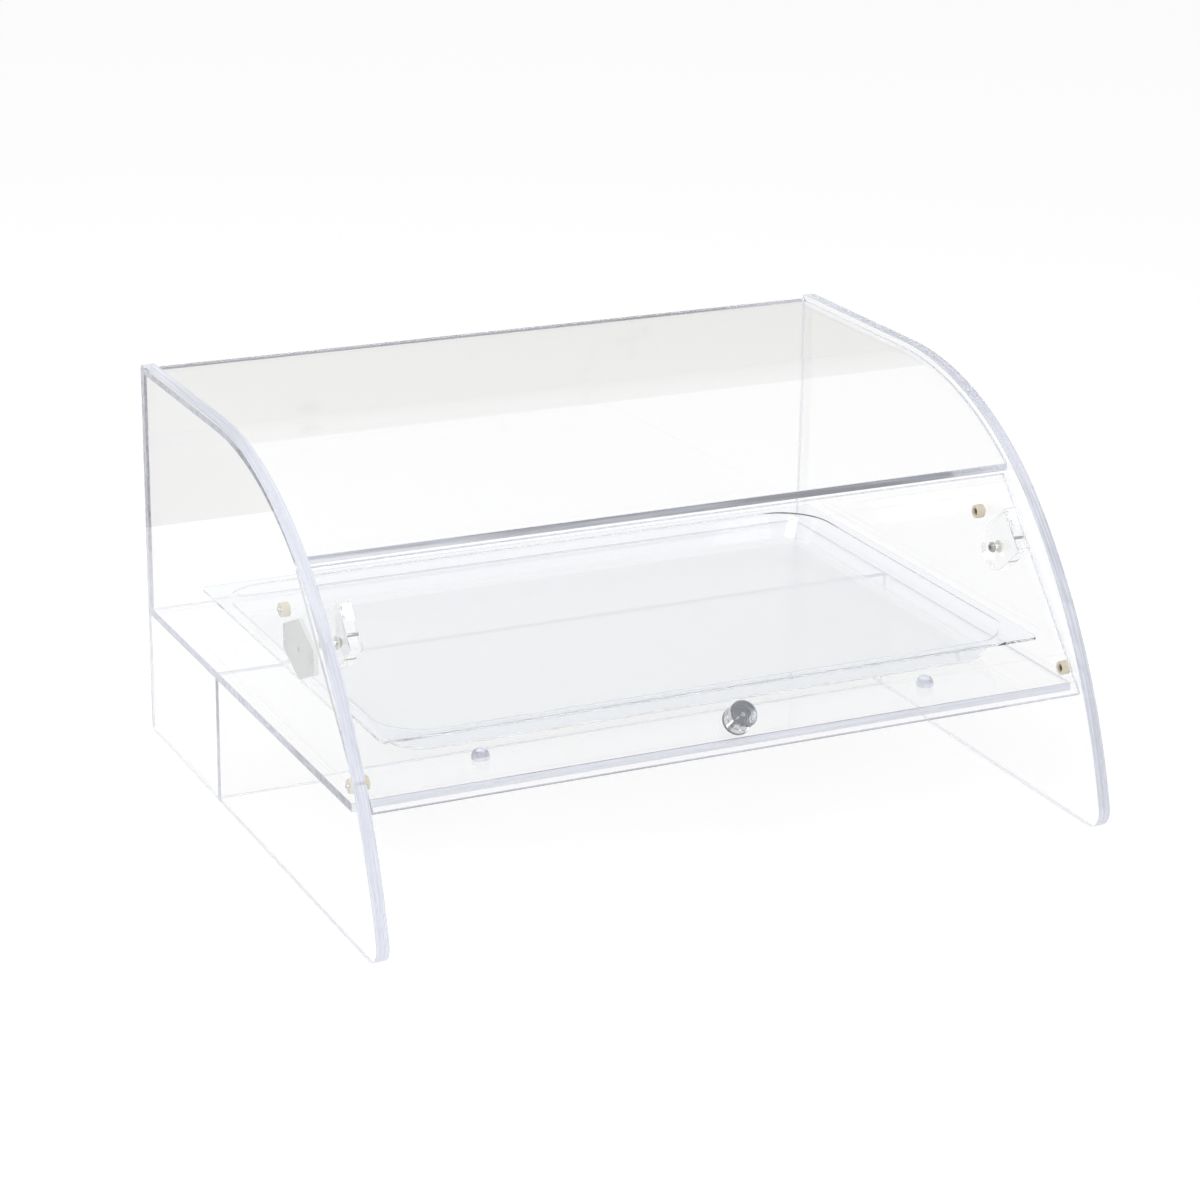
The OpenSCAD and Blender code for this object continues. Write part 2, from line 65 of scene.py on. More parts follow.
# From a sheet's u, v and w to Y, Z and X; and from a piece's upright axis to one that looks inward.
ACROSS = Matrix(((0, 0, 1, 0), (1, 0, 0, 0), (0, 1, 0, 0), (0, 0, 0, 1)))
INWARD = Matrix.Rotation(-math.pi / 2, 4, "Y")
ALONG_U, ALONG_V, ALONG_W = (1.0, 0.0, 0.0), (0.0, 1.0, 0.0), (0.0, 0.0, 1.0)
Mesh = bmesh.types.BMesh
Edges = list[bmesh.types.BMEdge]
Material = bpy.types.Material
Tree = bpy.types.NodeTree
Socket = bpy.types.NodeSocket
Pair = tuple[float, float]
Triple = tuple[float, float, float]
Span = tuple[float, float, float, float]


class Side(Enum):
    """The two ends of the case; the value is the sign of X."""

    LEFT = -1
    RIGHT = 1


class Level(Enum):
    """The two heights at which bumpers stand."""

    UPPER = "upper"
    LOWER = "lower"


class Body(Enum):
    """The rigid bodies of the frame."""

    CASE = "case"
    DOOR = "door"
    TRAY = "tray"


# ---------------------------------------------------------------- nodes


def linear(hex_colour: str) -> Span:
    """Turns an sRGB hex colour into linear light.

    Args:
        hex_colour: Six hex digits, with or without a leading hash.

    Returns:
        Linear red, green, blue and an alpha of one.
    """
    channels = []
    for value in bytes.fromhex(hex_colour.lstrip("#")):
        share = value / SRGB_FULL
        toe = share <= SRGB_TOE
        channels.append(share / SRGB_SLOPE if toe else ((share + SRGB_LIFT) / (1 + SRGB_LIFT)) ** SRGB_POWER)
    return *channels, 1.0


def add_node(tree: Tree, kind: str, settings: dict | None = None, values: dict | None = None,
             links: dict | None = None) -> bpy.types.Node:
    """Adds one node to a material or world.

    Args:
        tree: The node tree.
        kind: The node's type name, without its leading "ShaderNode".
        settings: Properties of the node to set.
        values: Default values by input name or number.
        links: Output sockets to link, by input name or number.

    Returns:
        The new node.
    """
    node = tree.nodes.new(f"ShaderNode{kind}")
    for key, value in (settings or {}).items():
        setattr(node, key, value)
    for key, value in (values or {}).items():
        node.inputs[key].default_value = value
    for key, socket in (links or {}).items():
        tree.links.new(socket, node.inputs[key])
    return node


def new_material(name: str) -> tuple[Material, Tree, bpy.types.Node]:
    """Makes an empty node material.

    Args:
        name: The finish's name.

    Returns:
        The material, its node tree and its output node.
    """
    material = bpy.data.materials.new(name)
    material.use_nodes = True
    material.node_tree.nodes.clear()
    return material, material.node_tree, add_node(material.node_tree, "OutputMaterial")


def in_mm(tree: Tree, origin: Triple = (0.0, 0.0, 0.0), turn: Triple = (0.0, 0.0, 0.0)) -> Socket:
    """Object coordinates in millimetres about a point, turned into a piece's own axes.

    Args:
        tree: The node tree.
        origin: The point in millimetres that becomes zero.
        turn: Euler angles in radians of the piece's own axes.

    Returns:
        The vector socket.
    """
    coordinates = add_node(tree, "TexCoord")
    mapping = add_node(tree, "Mapping", {"vector_type": "TEXTURE"},
                       {"Location": [value * MM for value in origin], "Rotation": turn,
                        "Scale": (MM, MM, MM)}, {"Vector": coordinates.outputs["Object"]})
    return mapping.outputs["Vector"]


def per_mm(size_mm: float) -> float:
    """Texture scale for a feature of this size in millimetres, on coordinates in millimetres."""
    return 1.0 / size_mm


def spread(tree: Tree, factor: Socket, low: float, high: float, start: float = 0.0,
           end: float = 1.0) -> Socket:
    """Maps a zero-to-one pattern onto a range of values.

    Args:
        tree: The node tree.
        factor: The pattern.
        low: Value at the pattern's start.
        high: Value at the pattern's end.
        start: Pattern value that gives low.
        end: Pattern value that gives high.

    Returns:
        The mapped value.
    """
    values = {"From Min": start, "From Max": end, "To Min": low, "To Max": high}
    return add_node(tree, "MapRange", {"clamp": True}, values, {"Value": factor}).outputs["Result"]


def joined(tree: Tree, operation: str, first: Socket | float, second: Socket) -> Socket:
    """Joins two values by arithmetic.

    Args:
        tree: The node tree.
        operation: The arithmetic's name.
        first: A socket or a number.
        second: A socket.

    Returns:
        The result.
    """
    values, links = ({0: first}, {1: second}) if isinstance(first, float) else ({}, {0: first, 1: second})
    return add_node(tree, "Math", {"operation": operation}, values, links).outputs["Value"]


def seal_clear(tree: Tree, output: bpy.types.Node, glass: Socket, veil: Socket, share: Socket,
               lamp_tint: str) -> None:
    """Lays a veil over a clear body, and lets lamp and bounce light pass, so that it casts a pale shadow.

    Args:
        tree: The node tree.
        output: The material's output node.
        glass: The clear body's shader.
        veil: The veil's shader.
        share: How much of the body the veil covers.
        lamp_tint: Hex colour of the light that passes.
    """
    skin = add_node(tree, "MixShader", None, None, {0: share, 1: glass, 2: veil})
    path = add_node(tree, "LightPath")
    either = joined(tree, "MAXIMUM", path.outputs["Is Shadow Ray"], path.outputs["Is Diffuse Ray"])
    through = add_node(tree, "BsdfTransparent", None, {"Color": linear(lamp_tint)})
    mixed = add_node(tree, "MixShader", None, None,
                     {0: either, 1: skin.outputs["Shader"], 2: through.outputs["BSDF"]})
    tree.links.new(mixed.outputs["Shader"], output.inputs["Surface"])


def seal_opaque(tree: Tree, output: bpy.types.Node, tone: Socket, grain: Socket, shades: tuple[str, str],
                roughness: tuple[float, ...], relief: Pair, values: dict) -> None:
    """Finishes an opaque body: colour from one pattern, roughness and relief from another.

    Args:
        tree: The node tree.
        output: The material's output node.
        tone: Pattern that mixes the two shades.
        grain: Pattern that sets roughness and relief.
        shades: The light and the dark hex colour.
        roughness: Low and high, and where given the pattern values that give them.
        relief: The bump's strength, and its height in millimetres.
        values: Further values of the shader.
    """
    light, dark = shades
    colour = add_node(tree, "Mix", {"data_type": "RGBA"}, {6: linear(dark), 7: linear(light)}, {0: tone})
    rough = spread(tree, grain, *roughness)
    bump = add_node(tree, "Bump", None, {"Strength": relief[0], "Distance": relief[1] * MM},
                    {"Height": grain})
    body = add_node(tree, "BsdfPrincipled", None, values,
                    {"Base Color": colour.outputs[2], "Roughness": rough,
                     "Normal": bump.outputs["Normal"]})
    tree.links.new(body.outputs["BSDF"], output.inputs["Surface"])


# ---------------------------------------------------------------- finishes


@dataclass(frozen=True)
class ClearAcrylic:
    """Cell-cast acrylic: clear on its faces, satin and faintly blue along its sawn edges.

    The saw's marks run along the edges: the stretch says along which axes they are drawn out.
    """

    name: str
    tint: str = "#FDFDFD"
    depth_tint: str = "#CBCFDB"
    depth_per_metre: float = 0.9
    ior: float = 1.49
    wave_mm: float = 95.0
    wave_height_mm: float = 0.006
    haze_mm: float = 14.0
    haze: Span = (0.0, 0.012, 0.45, 0.8)
    saw_mm: float = 2.5
    saw_stretch: Triple = (1.0, 0.02, 0.02)
    saw_roughness: float = 0.16
    saw_cover: Span = (0.32, 0.56, 0.35, 0.65)
    saw_veil: str = "#ECEFFA"
    lamp_tint: str = "#FCFCFC"

    def make(self) -> Material:
        """Builds the material: casting waves, polishing haze, tinted depth and satin saw cuts.

        Returns:
            The material.
        """
        material, tree, output = new_material(self.name)
        place = in_mm(tree)
        waves = add_node(tree, "TexNoise", None, {"Scale": per_mm(self.wave_mm), "Detail": 1.0},
                         {"Vector": place})
        bump = add_node(tree, "Bump", None, {"Strength": 1.0, "Distance": self.wave_height_mm * MM},
                        {"Height": waves.outputs["Fac"]})
        haze = add_node(tree, "TexNoise", None,
                        {"Scale": per_mm(self.haze_mm), "Detail": 4.0, "Roughness": 0.65},
                        {"Vector": place})
        cut = add_node(tree, "Attribute", {"attribute_name": SAWN_EDGE}).outputs["Fac"]
        roughness = joined(tree, "ADD", spread(tree, haze.outputs["Fac"], *self.haze),
                           joined(tree, "MULTIPLY", self.saw_roughness, cut))
        glass = add_node(tree, "BsdfPrincipled", None,
                         {"Base Color": linear(self.tint), "IOR": self.ior,
                          "Transmission Weight": 1.0, "Metallic": 0.0},
                         {"Roughness": roughness, "Normal": bump.outputs["Normal"]})
        along = add_node(tree, "Mapping", None, {"Scale": self.saw_stretch}, {"Vector": place})
        strokes = add_node(tree, "TexNoise", None, {"Scale": per_mm(self.saw_mm), "Detail": 3.0},
                           {"Vector": along.outputs["Vector"]})
        cover = joined(tree, "MULTIPLY", spread(tree, strokes.outputs["Fac"], *self.saw_cover), cut)
        satin = add_node(tree, "BsdfDiffuse", None, {"Color": linear(self.saw_veil)})
        seal_clear(tree, output, glass.outputs["BSDF"], satin.outputs["BSDF"], cover, self.lamp_tint)
        depth = add_node(tree, "VolumeAbsorption", None,
                         {"Color": linear(self.depth_tint), "Density": self.depth_per_metre})
        tree.links.new(depth.outputs["Volume"], output.inputs["Volume"])
        return material


@dataclass(frozen=True)
class PebbledTrayPlastic:
    """Formed clear copolyester tray: glossy walls and a finely pebbled, milky-bright floor."""

    name: str
    floor_z_mm: float
    fade_from_mm: float = 4.0
    fade_to_mm: float = 9.0
    tint: str = "#F7F9FC"
    ior: float = 1.57
    pebble_mm: float = 2.4
    pebble_height_mm: float = 0.05
    roughness: Pair = (0.03, 0.07)
    milk: str = "#FAFBFC"
    milk_share: float = 0.28
    lamp_tint: str = "#FCFCFC"

    def make(self) -> Material:
        """Builds the material: pebbles on the floor only, fading out up the walls.

        Returns:
            The material.
        """
        material, tree, output = new_material(self.name)
        place = in_mm(tree)
        parts = add_node(tree, "SeparateXYZ", None, None, {"Vector": place})
        on_floor = spread(tree, parts.outputs["Z"], 1.0, 0.0, self.floor_z_mm + self.fade_from_mm,
                          self.floor_z_mm + self.fade_to_mm)
        pebbles = add_node(tree, "TexVoronoi", {"feature": "SMOOTH_F1"},
                           {"Scale": per_mm(self.pebble_mm), "Smoothness": 0.6}, {"Vector": place})
        height = joined(tree, "MULTIPLY", pebbles.outputs["Distance"], on_floor)
        bump = add_node(tree, "Bump", None, {"Strength": 1.0, "Distance": self.pebble_height_mm * MM},
                        {"Height": height}).outputs["Normal"]
        glass = add_node(tree, "BsdfPrincipled", None,
                         {"Base Color": linear(self.tint), "IOR": self.ior,
                          "Transmission Weight": 1.0, "Metallic": 0.0},
                         {"Roughness": spread(tree, on_floor, *self.roughness), "Normal": bump})
        milk = add_node(tree, "BsdfDiffuse", None, {"Color": linear(self.milk)}, {"Normal": bump})
        seal_clear(tree, output, glass.outputs["BSDF"], milk.outputs["BSDF"],
                   spread(tree, on_floor, 0.0, self.milk_share), self.lamp_tint)
        return material


@dataclass(frozen=True)
class Steel:
    """Machined steel: bright, with fine turning marks, or dark, where the dark is black oxide and painted
    shade of a deep recess.
    """

    name: str
    shades: tuple[str, str]
    roughness: Pair
    metallic: float = 1.0
    mark_mm: float = 0.5
    mark_span: Pair = (0.3, 0.7)
    blotch_mm: float = 1.6
    relief: Pair = (0.1, 0.01)

    def make(self) -> Material:
        """Builds the material: blotched colour, with fine marks in the roughness.

        Returns:
            The material.
        """
        material, tree, output = new_material(self.name)
        place = in_mm(tree)
        blotch, marks = (add_node(tree, "TexNoise", None, {"Scale": per_mm(size), "Detail": detail},
                                  {"Vector": place}).outputs["Fac"]
                         for size, detail in ((self.blotch_mm, 3.0), (self.mark_mm, 2.0)))
        seal_opaque(tree, output, blotch, marks, self.shades, self.roughness + self.mark_span,
                    self.relief, {"Metallic": self.metallic})
        return material


@dataclass(frozen=True)
class TurnedAluminium:
    """Lathe-turned aluminium: fine rings about the piece's own axis give a silky fan of light."""

    name: str
    centre_mm: Triple
    lean: float
    shades: tuple[str, str] = ("#A6A9AE", "#74777D")
    ring_mm: float = 0.55
    roughness: Pair = (0.22, 0.42)
    relief: Pair = (0.3, 0.01)

    def make(self) -> Material:
        """Builds the material from rings about the axis that stands off the door.

        Returns:
            The material.
        """
        material, tree, output = new_material(self.name)
        place = in_mm(tree, self.centre_mm, (self.lean, 0.0, 0.0))
        rings = add_node(tree, "TexWave",
                         {"wave_type": "RINGS", "rings_direction": "Z", "wave_profile": "SIN"},
                         {"Scale": per_mm(self.ring_mm) / math.pi, "Distortion": 0.1, "Detail": 1.0},
                         {"Vector": place}).outputs["Fac"]
        seal_opaque(tree, output, rings, rings, self.shades, self.roughness, self.relief,
                    {"Metallic": 1.0})
        return material


@dataclass(frozen=True)
class Nylon:
    """Turned nylon or acetal: waxy, softly mottled and slightly glowing."""

    name: str
    shades: tuple[str, str]
    mottle_mm: float = 2.5
    roughness: Span = (0.38, 0.55, 0.3, 0.7)
    relief: Pair = (0.2, 0.03)
    ior: float = 1.53
    glow: float = 0.15
    glow_reach_mm: Triple = (1.0, 0.8, 0.5)

    def make(self) -> Material:
        """Builds the material: soft mottling and light scattered a short way under the skin.

        Returns:
            The material.
        """
        material, tree, output = new_material(self.name)
        mottle = add_node(tree, "TexNoise", None, {"Scale": per_mm(self.mottle_mm), "Detail": 4.0},
                          {"Vector": in_mm(tree)}).outputs["Fac"]
        seal_opaque(tree, output, mottle, mottle, self.shades, self.roughness, self.relief,
                    {"Metallic": 0.0, "IOR": self.ior, "Subsurface Weight": self.glow,
                     "Subsurface Radius": self.glow_reach_mm, "Subsurface Scale": MM})
        return material


# ---------------------------------------------------------------- drawing and turning


@dataclass
class SheetSketch:
    """A closed outline on a plane that becomes a sheet: lines, arcs and round holes.

    The plane's axes are u and v, and the sheet's thickness grows along w from zero.
    """

    start: Pair
    bm: Mesh = field(default_factory=bmesh.new)
    pen: bmesh.types.BMVert | None = None
    holes: list[Span] = field(default_factory=list)

    def __post_init__(self) -> None:
        """Puts the pen on the starting point."""
        self.pen = self.bm.verts.new((*self.start, 0.0))

    @classmethod
    def rectangle(cls, low: Pair, high: Pair) -> "SheetSketch":
        """Draws a rectangle between its low and its high corner."""
        sketch = cls((high[0], low[1]))
        return sketch.line(*high).line(low[0], high[1]).line(*low).line(high[0], low[1])

    def line(self, u: float, v: float) -> "SheetSketch":
        """Draws a straight edge.

        Args:
            u: Where the edge ends along u.
            v: Where the edge ends along v.

        Returns:
            The sketch, so that calls chain.
        """
        self.pen = bmesh.ops.extrude_vert_indiv(self.bm, verts=[self.pen])["verts"][0]
        self.pen.co = (u, v, 0.0)
        return self

    def arc(self, centre: Pair | Vector, degrees: float, steps: int) -> "SheetSketch":
        """Draws an arc about a centre.

        Args:
            centre: The arc's centre.
            degrees: Turn, anticlockwise when positive.
            steps: Number of short edges in the arc.

        Returns:
            The sketch, so that calls chain.
        """
        made = bmesh.ops.spin(self.bm, geom=[self.pen], cent=(*centre, 0.0), axis=ALONG_W,
                              angle=math.radians(degrees), steps=steps, use_merge=False,
                              use_duplicate=False)
        self.pen = [item for item in made["geom_last"] if isinstance(item, bmesh.types.BMVert)][0]
        return self

    def hole(self, centre: Pair | Vector, radius: float, depth: float) -> "SheetSketch":
        """Notes a round hole that starts at w zero.

        Args:
            centre: The hole's centre.
            radius: The hole's radius.
            depth: How deep it goes; a depth past the sheet goes right through.

        Returns:
            The sketch, so that calls chain.
        """
        self.holes.append((*centre, radius, depth))
        return self

    def sheet(self, thick: float, edge_round: float, steps: int = 48) -> Mesh:
        """Turns the outline into a closed sheet with holes and softly rounded rims.

        Args:
            thick: The sheet's thickness.
            edge_round: Width of the rounding along the outline's two rims.
            steps: Edges round each hole.

        Returns:
            The mesh, in millimetres in the sketch's own axes.
        """
        bm = self.bm
        bmesh.ops.remove_doubles(bm, verts=bm.verts[:], dist=JOIN)
        outline = bm.edges[:]
        top = raised(bm, outline, (0.0, 0.0, thick))
        rims = set(outline) | set(top)
        low_loops, top_loops = list(outline), list(top)
        for u, v, radius, depth in self.holes:
            ring = circle(bm, radius, (u, v, 0.0), steps)
            low_loops += ring
            end = raised(bm, ring, (0.0, 0.0, min(depth, thick)))
            if depth >= thick:
                top_loops += end
            else:
                bmesh.ops.contextual_create(bm, geom=end)
        for loops, plain in ((low_loops, outline), (top_loops, top)):
            if len(loops) == len(plain):
                bmesh.ops.contextual_create(bm, geom=loops)
            else:
                fill_between(bm, loops)
        bmesh.ops.recalc_face_normals(bm, faces=bm.faces[:])
        for face in bm.faces:
            face.smooth = False
        if edge_round > 0.0:
            soften(bm, [edge for edge in bm.edges if edge in rims], edge_round)
        return bm


def rectangle(bm: Mesh, half_u: float, half_v: float, place: Matrix) -> list[bmesh.types.BMVert]:
    """Draws a rectangle of one face.

    Args:
        bm: The mesh.
        half_u: Half its first side.
        half_v: Half its second side.
        place: Its place, about its middle.

    Returns:
        Its corners.
    """
    size = Matrix.Diagonal((half_u, half_v, 1.0, 1.0))
    made = bmesh.ops.create_grid(bm, x_segments=1, y_segments=1, size=1.0, matrix=place @ size)
    return made["verts"]


def circle(bm: Mesh, radius: float, centre: Triple, steps: int) -> Edges:
    """Draws a level circle.

    Args:
        bm: The mesh.
        radius: The circle's radius.
        centre: The circle's centre.
        steps: Number of edges.

    Returns:
        The circle's edges.
    """
    ring = bmesh.ops.create_circle(bm, cap_ends=False, segments=steps, radius=radius,
                                   matrix=Matrix.Translation(centre))
    return list({edge for vert in ring["verts"] for edge in vert.link_edges})


def fill_between(bm: Mesh, loops: Edges) -> None:
    """Fills the flat face between an outline and the loops inside it."""
    bmesh.ops.triangle_fill(bm, use_beauty=True, use_dissolve=False, edges=loops)


def raised(bm: Mesh, edges: Edges, offset: Triple, shrink: float = 1.0) -> Edges:
    """Extrudes edges and moves the copies.

    Args:
        bm: The mesh.
        edges: The edges.
        offset: How far the copies move.
        shrink: How much the copies shrink towards the w axis.

    Returns:
        The moved edges.
    """
    made = bmesh.ops.extrude_edge_only(bm, edges=edges)["geom"]
    verts = [item for item in made if isinstance(item, bmesh.types.BMVert)]
    bmesh.ops.scale(bm, vec=(shrink, shrink, 1.0), verts=verts)
    bmesh.ops.translate(bm, verts=verts, vec=offset)
    return [item for item in made if isinstance(item, bmesh.types.BMEdge)]


def soften(bm: Mesh, edges: Edges, width: float, segments: int = 3) -> None:
    """Rounds edges a little, and keeps the faces beside the rounding shaded as they were.

    Args:
        bm: The mesh.
        edges: The edges to round.
        width: How far the rounding reaches on each side.
        segments: Faces across the rounding.
    """
    made = bmesh.ops.bevel(bm, geom=edges, offset=width, offset_type="OFFSET", segments=segments,
                           profile=0.5, affect="EDGES", material=-1, clamp_overlap=True)
    strips = set(made["faces"])
    for face in strips:
        face.smooth = True
        for edge in face.edges:
            if any(other not in strips for other in edge.link_faces):
                edge.smooth = False


def along_w(bm: Mesh, least: float = 1.0) -> Edges:
    """The edges that run through a sheet from one face to the other."""
    return [edge for edge in bm.edges if abs(edge.verts[0].co.z - edge.verts[1].co.z) > least]


def mark_sawn(bm: Mesh, polished: Triple, least: float = POLISHED_COSINE) -> None:
    """Marks the faces that a saw has cut; the others keep the sheet's own polish.

    Args:
        bm: The mesh of a sheet, in its sketch's axes.
        polished: Direction that the sheet's polished faces look along.
        least: How closely a polished face's normal follows it, as a cosine.
    """
    layer = bm.faces.layers.float.new(SAWN_EDGE)
    for face in bm.faces:
        face[layer] = float(abs(face.normal.dot(polished)) < least)


def smooth_strips(bm: Mesh) -> None:
    """Smooths the strips of bent surfaces, and leaves flat faces flat.

    Args:
        bm: The mesh.
    """
    for edge in bm.edges:
        if len(edge.link_faces) == 2 and LEAST_TURN < edge.calc_face_angle(0.0) < STRIP_TURN:
            for face in edge.link_faces:
                face.smooth = True


def facet_recess(bm: Mesh, reach: float) -> None:
    """Keeps a driver recess flat-faced: the faces above zero within a reach of the axis.

    Args:
        bm: The mesh of a screw.
        reach: The recess's outer radius.
    """
    bmesh.ops.recalc_face_normals(bm, faces=bm.faces[:])
    for face in bm.faces:
        centre = face.calc_center_median()
        if centre.z > 0.0 and centre.xy.length < reach:
            face.smooth = False


def turned_piece(profile: list[Pair], steps: int = 96) -> Mesh:
    """Spins a profile about the w axis.

    Args:
        profile: Points as (radius, height), from the axis or bore round to it again.
        steps: Steps round the full turn.

    Returns:
        The mesh in millimetres, whose axis is Z.
    """
    bm = bmesh.new()
    pen = bm.verts.new((profile[0][0], 0.0, profile[0][1]))
    for radius, height in profile[1:]:
        pen = bmesh.ops.extrude_vert_indiv(bm, verts=[pen])["verts"][0]
        pen.co = (radius, 0.0, height)
    bmesh.ops.spin(bm, geom=bm.verts[:] + bm.edges[:], cent=(0.0, 0.0, 0.0), axis=ALONG_W,
                   angle=math.tau, steps=steps, use_merge=True, use_duplicate=False)
    bmesh.ops.remove_doubles(bm, verts=bm.verts[:], dist=TURNED_JOIN)
    bmesh.ops.dissolve_degenerate(bm, edges=bm.edges[:], dist=TURNED_JOIN)
    bmesh.ops.recalc_face_normals(bm, faces=bm.faces[:])
    for face in bm.faces:
        face.smooth = True
    for edge in bm.edges:
        if len(edge.link_faces) == 2 and edge.calc_face_angle(0.0) > CREASE:
            edge.smooth = False
    return bm


def rounded(corner: Pair, radius: float, first: float, last: float, steps: int) -> list[Pair]:
    """Points along an arc, for a turned profile's rounded corner.

    Args:
        corner: The arc's centre.
        radius: The arc's radius.
        first: First angle in degrees.
        last: Last angle in degrees.
        steps: Number of short edges.

    Returns:
        The points, both ends included.
    """
    angles = [math.radians(first + (last - first) * step / steps) for step in range(steps + 1)]
    return [(corner[0] + radius * math.cos(a), corner[1] + radius * math.sin(a)) for a in angles]


def solid(name: str, bm: Mesh, material: Material) -> bpy.types.Object:
    """Makes an object at the origin from a mesh, and frees the mesh.

    Args:
        name: The object's and mesh's name.
        bm: The mesh in metres.
        material: Its finish.

    Returns:
        The object.
    """
    mesh = bpy.data.meshes.new(name)
    bm.to_mesh(mesh)
    bm.free()
    mesh.materials.append(material)
    made = bpy.data.objects.new(name, mesh)
    bpy.context.scene.collection.objects.link(made)
    return made


def deliver(bm: Mesh, name: str, place: Matrix, material: Material, body: Body,
            node: str) -> None:
    """Turns a mesh in millimetres into a finished piece on its body.

    Args:
        bm: The mesh, which is freed.
        name: The piece's name.
        place: Its place in the case's frame, in millimetres.
        material: Its finish.
        body: The body that it rides on.
        node: The node that it stands for.
    """
    for edge in bm.edges:
        if any(not face.smooth for face in edge.link_faces):
            edge.smooth = False
    bmesh.ops.transform(bm, matrix=Matrix.Scale(MM, 4) @ place, verts=bm.verts[:])
    if place.determinant() < 0:
        bmesh.ops.reverse_faces(bm, faces=bm.faces[:])
    piece = solid(name, bm, material)
    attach(piece, body.value)
    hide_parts(node)
    log.info("%s: %d faces on %s", name, len(piece.data.polygons), body.value)


def dress_node(name: str, material: Material) -> None:
    """Gives a node that keeps its own shape its finish.

    Args:
        name: The node.
        material: Its finish.
    """
    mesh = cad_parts[name].data
    mesh.materials.clear()
    mesh.materials.append(material)
    log.info("%s: kept as packed, in %s", name, material.name)


def on_side(side: Side) -> Matrix:
    """Mirrors a piece drawn for the right end when it is for the left."""
    return Matrix.Diagonal((side.value, 1.0, 1.0, 1.0))


# ---------------------------------------------------------------- sizes


@dataclass(frozen=True)
class BinSizes:
    """Real sizes of the display bin in millimetres."""

    width: float = 724.0
    depth: float = 589.0
    height: float = 371.0
    panel: float = 12.0
    brow_radius: float = 340.0
    brow_sweep: float = 46.0
    front_radius: float = 560.0
    foot_radius: float = 18.0
    rear_top_radius: float = 6.0
    rear_foot_radius: float = 4.0
    shelf_height: float = 125.5
    shelf_depth: float = 528.0
    sheet: float = 8.0
    riser_setback: float = 186.0
    shield: float = 6.0
    shield_inset: float = 5.0
    shield_sweep: float = 36.0
    door: float = 6.0
    door_side_gap: float = 2.0
    door_top_gap: float = 2.0
    door_tuck: float = 1.0
    door_overhang: float = 22.0
    door_drop: float = 1.5
    door_open: float = 62.0
    block: float = 12.0
    left_block_inset: float = 20.0
    block_drop: float = 34.5
    block_length: float = 45.0
    pivot_reach: float = 37.5
    pivot_diameter: float = 5.0
    pivot_clearance: float = 0.05
    pivot_hole_depth: float = 9.0
    washer: float = 1.2
    plate: float = 4.0
    plate_height: float = 56.0
    plate_end_height: float = 22.0
    plate_door_gap: float = 2.0
    plate_screw_inset: float = 7.5
    plate_screw_diameter: float = 3.0
    plate_hole_depth: float = 5.0
    end_play: float = 0.3
    bumper_diameter: float = 13.0
    bumper_length: float = 8.0
    bumper_gap: float = 0.2
    upper_bumper_drop: float = 19.0
    lower_bumper_rise: float = 30.0
    knob_rise: float = 27.0
    bond: float = 0.03
    thread_gap: float = 0.03
    plain_gap: float = 0.05
    tip_gap: float = 0.5

    @property
    def rear(self) -> float:
        """Y of the back face."""
        return self.depth / 2

    @property
    def inner(self) -> float:
        """X of the right end panel's inner face."""
        return self.width / 2 - self.panel

    @property
    def brow_end(self) -> Vector:
        """Where the brow bend meets the front curve."""
        sweep = math.radians(self.brow_sweep)
        return self.brow_centre + self.brow_radius * Vector((-math.sin(sweep), math.cos(sweep)))

    @property
    def front_centre_z(self) -> float:
        """Height of the front curve's centre."""
        sweep = math.radians(self.brow_sweep)
        return (self.height - self.brow_radius * (1 - math.cos(sweep))
                - self.front_radius * math.cos(sweep))

    @property
    def brow_centre(self) -> Vector:
        """Centre of the brow bend, as (Y, Z)."""
        sweep = math.radians(self.brow_sweep)
        foot_run = math.sqrt((self.front_radius - self.foot_radius) ** 2
                             - (self.foot_radius - self.front_centre_z) ** 2)
        reach = ((self.brow_radius - self.front_radius) * math.sin(sweep) + foot_run
                 + self.foot_radius)
        return Vector((reach - self.rear, self.height - self.brow_radius))

    @property
    def front_centre(self) -> Vector:
        """Centre of the long front curve, as (Y, Z)."""
        sweep = math.radians(self.brow_sweep)
        return Vector((self.brow_end.x + self.front_radius * math.sin(sweep),
                       self.front_centre_z))

    @property
    def foot_centre(self) -> Vector:
        """Centre of the front foot's rounding, as (Y, Z)."""
        return Vector((self.foot_radius - self.rear, self.foot_radius))

    @property
    def shield_end(self) -> Vector:
        """Lower inner corner of the shield's cut end, as (Y, Z)."""
        radius = self.brow_radius - self.shield_inset
        y = self.brow_centre.x - radius * math.sin(math.radians(self.shield_sweep))
        inner = radius - self.shield
        return Vector((y, self.brow_centre.y
                       + math.sqrt(inner ** 2 - (self.brow_centre.x - y) ** 2)))

    @property
    def shelf_front(self) -> float:
        """Y of the shelf's front edge."""
        return self.rear - self.shelf_depth

    @property
    def door_top(self) -> Vector:
        """Upper outer edge of the door, as (Y, Z)."""
        return self.shield_end + Vector((self.door_tuck, -self.door_top_gap))

    @property
    def door_foot(self) -> Vector:
        """Lower outer edge of the door, as (Y, Z)."""
        return Vector((self.shelf_front - self.door_overhang, self.shelf_height - self.door_drop))

    @property
    def door_length(self) -> float:
        """Length of the door from top to bottom."""
        return (self.door_top - self.door_foot).length

    @property
    def door_lean(self) -> float:
        """Lean of the door from level, in radians."""
        run = self.door_top - self.door_foot
        return math.atan2(run.y, run.x)

    @property
    def door_frame(self) -> Matrix:
        """From the door's axes (across, up the door, outward) to the case's."""
        top = Matrix.Translation((0.0, self.door_top.x, self.door_top.y))
        return top @ Matrix.Rotation(self.door_lean, 4, "X")

    @property
    def pivot_in_door(self) -> Vector:
        """The pivot as (up the door, outward) from the door's top outer edge."""
        return Vector((-(self.block_drop + self.block_length / 2),
                       -(self.door + self.pivot_reach)))

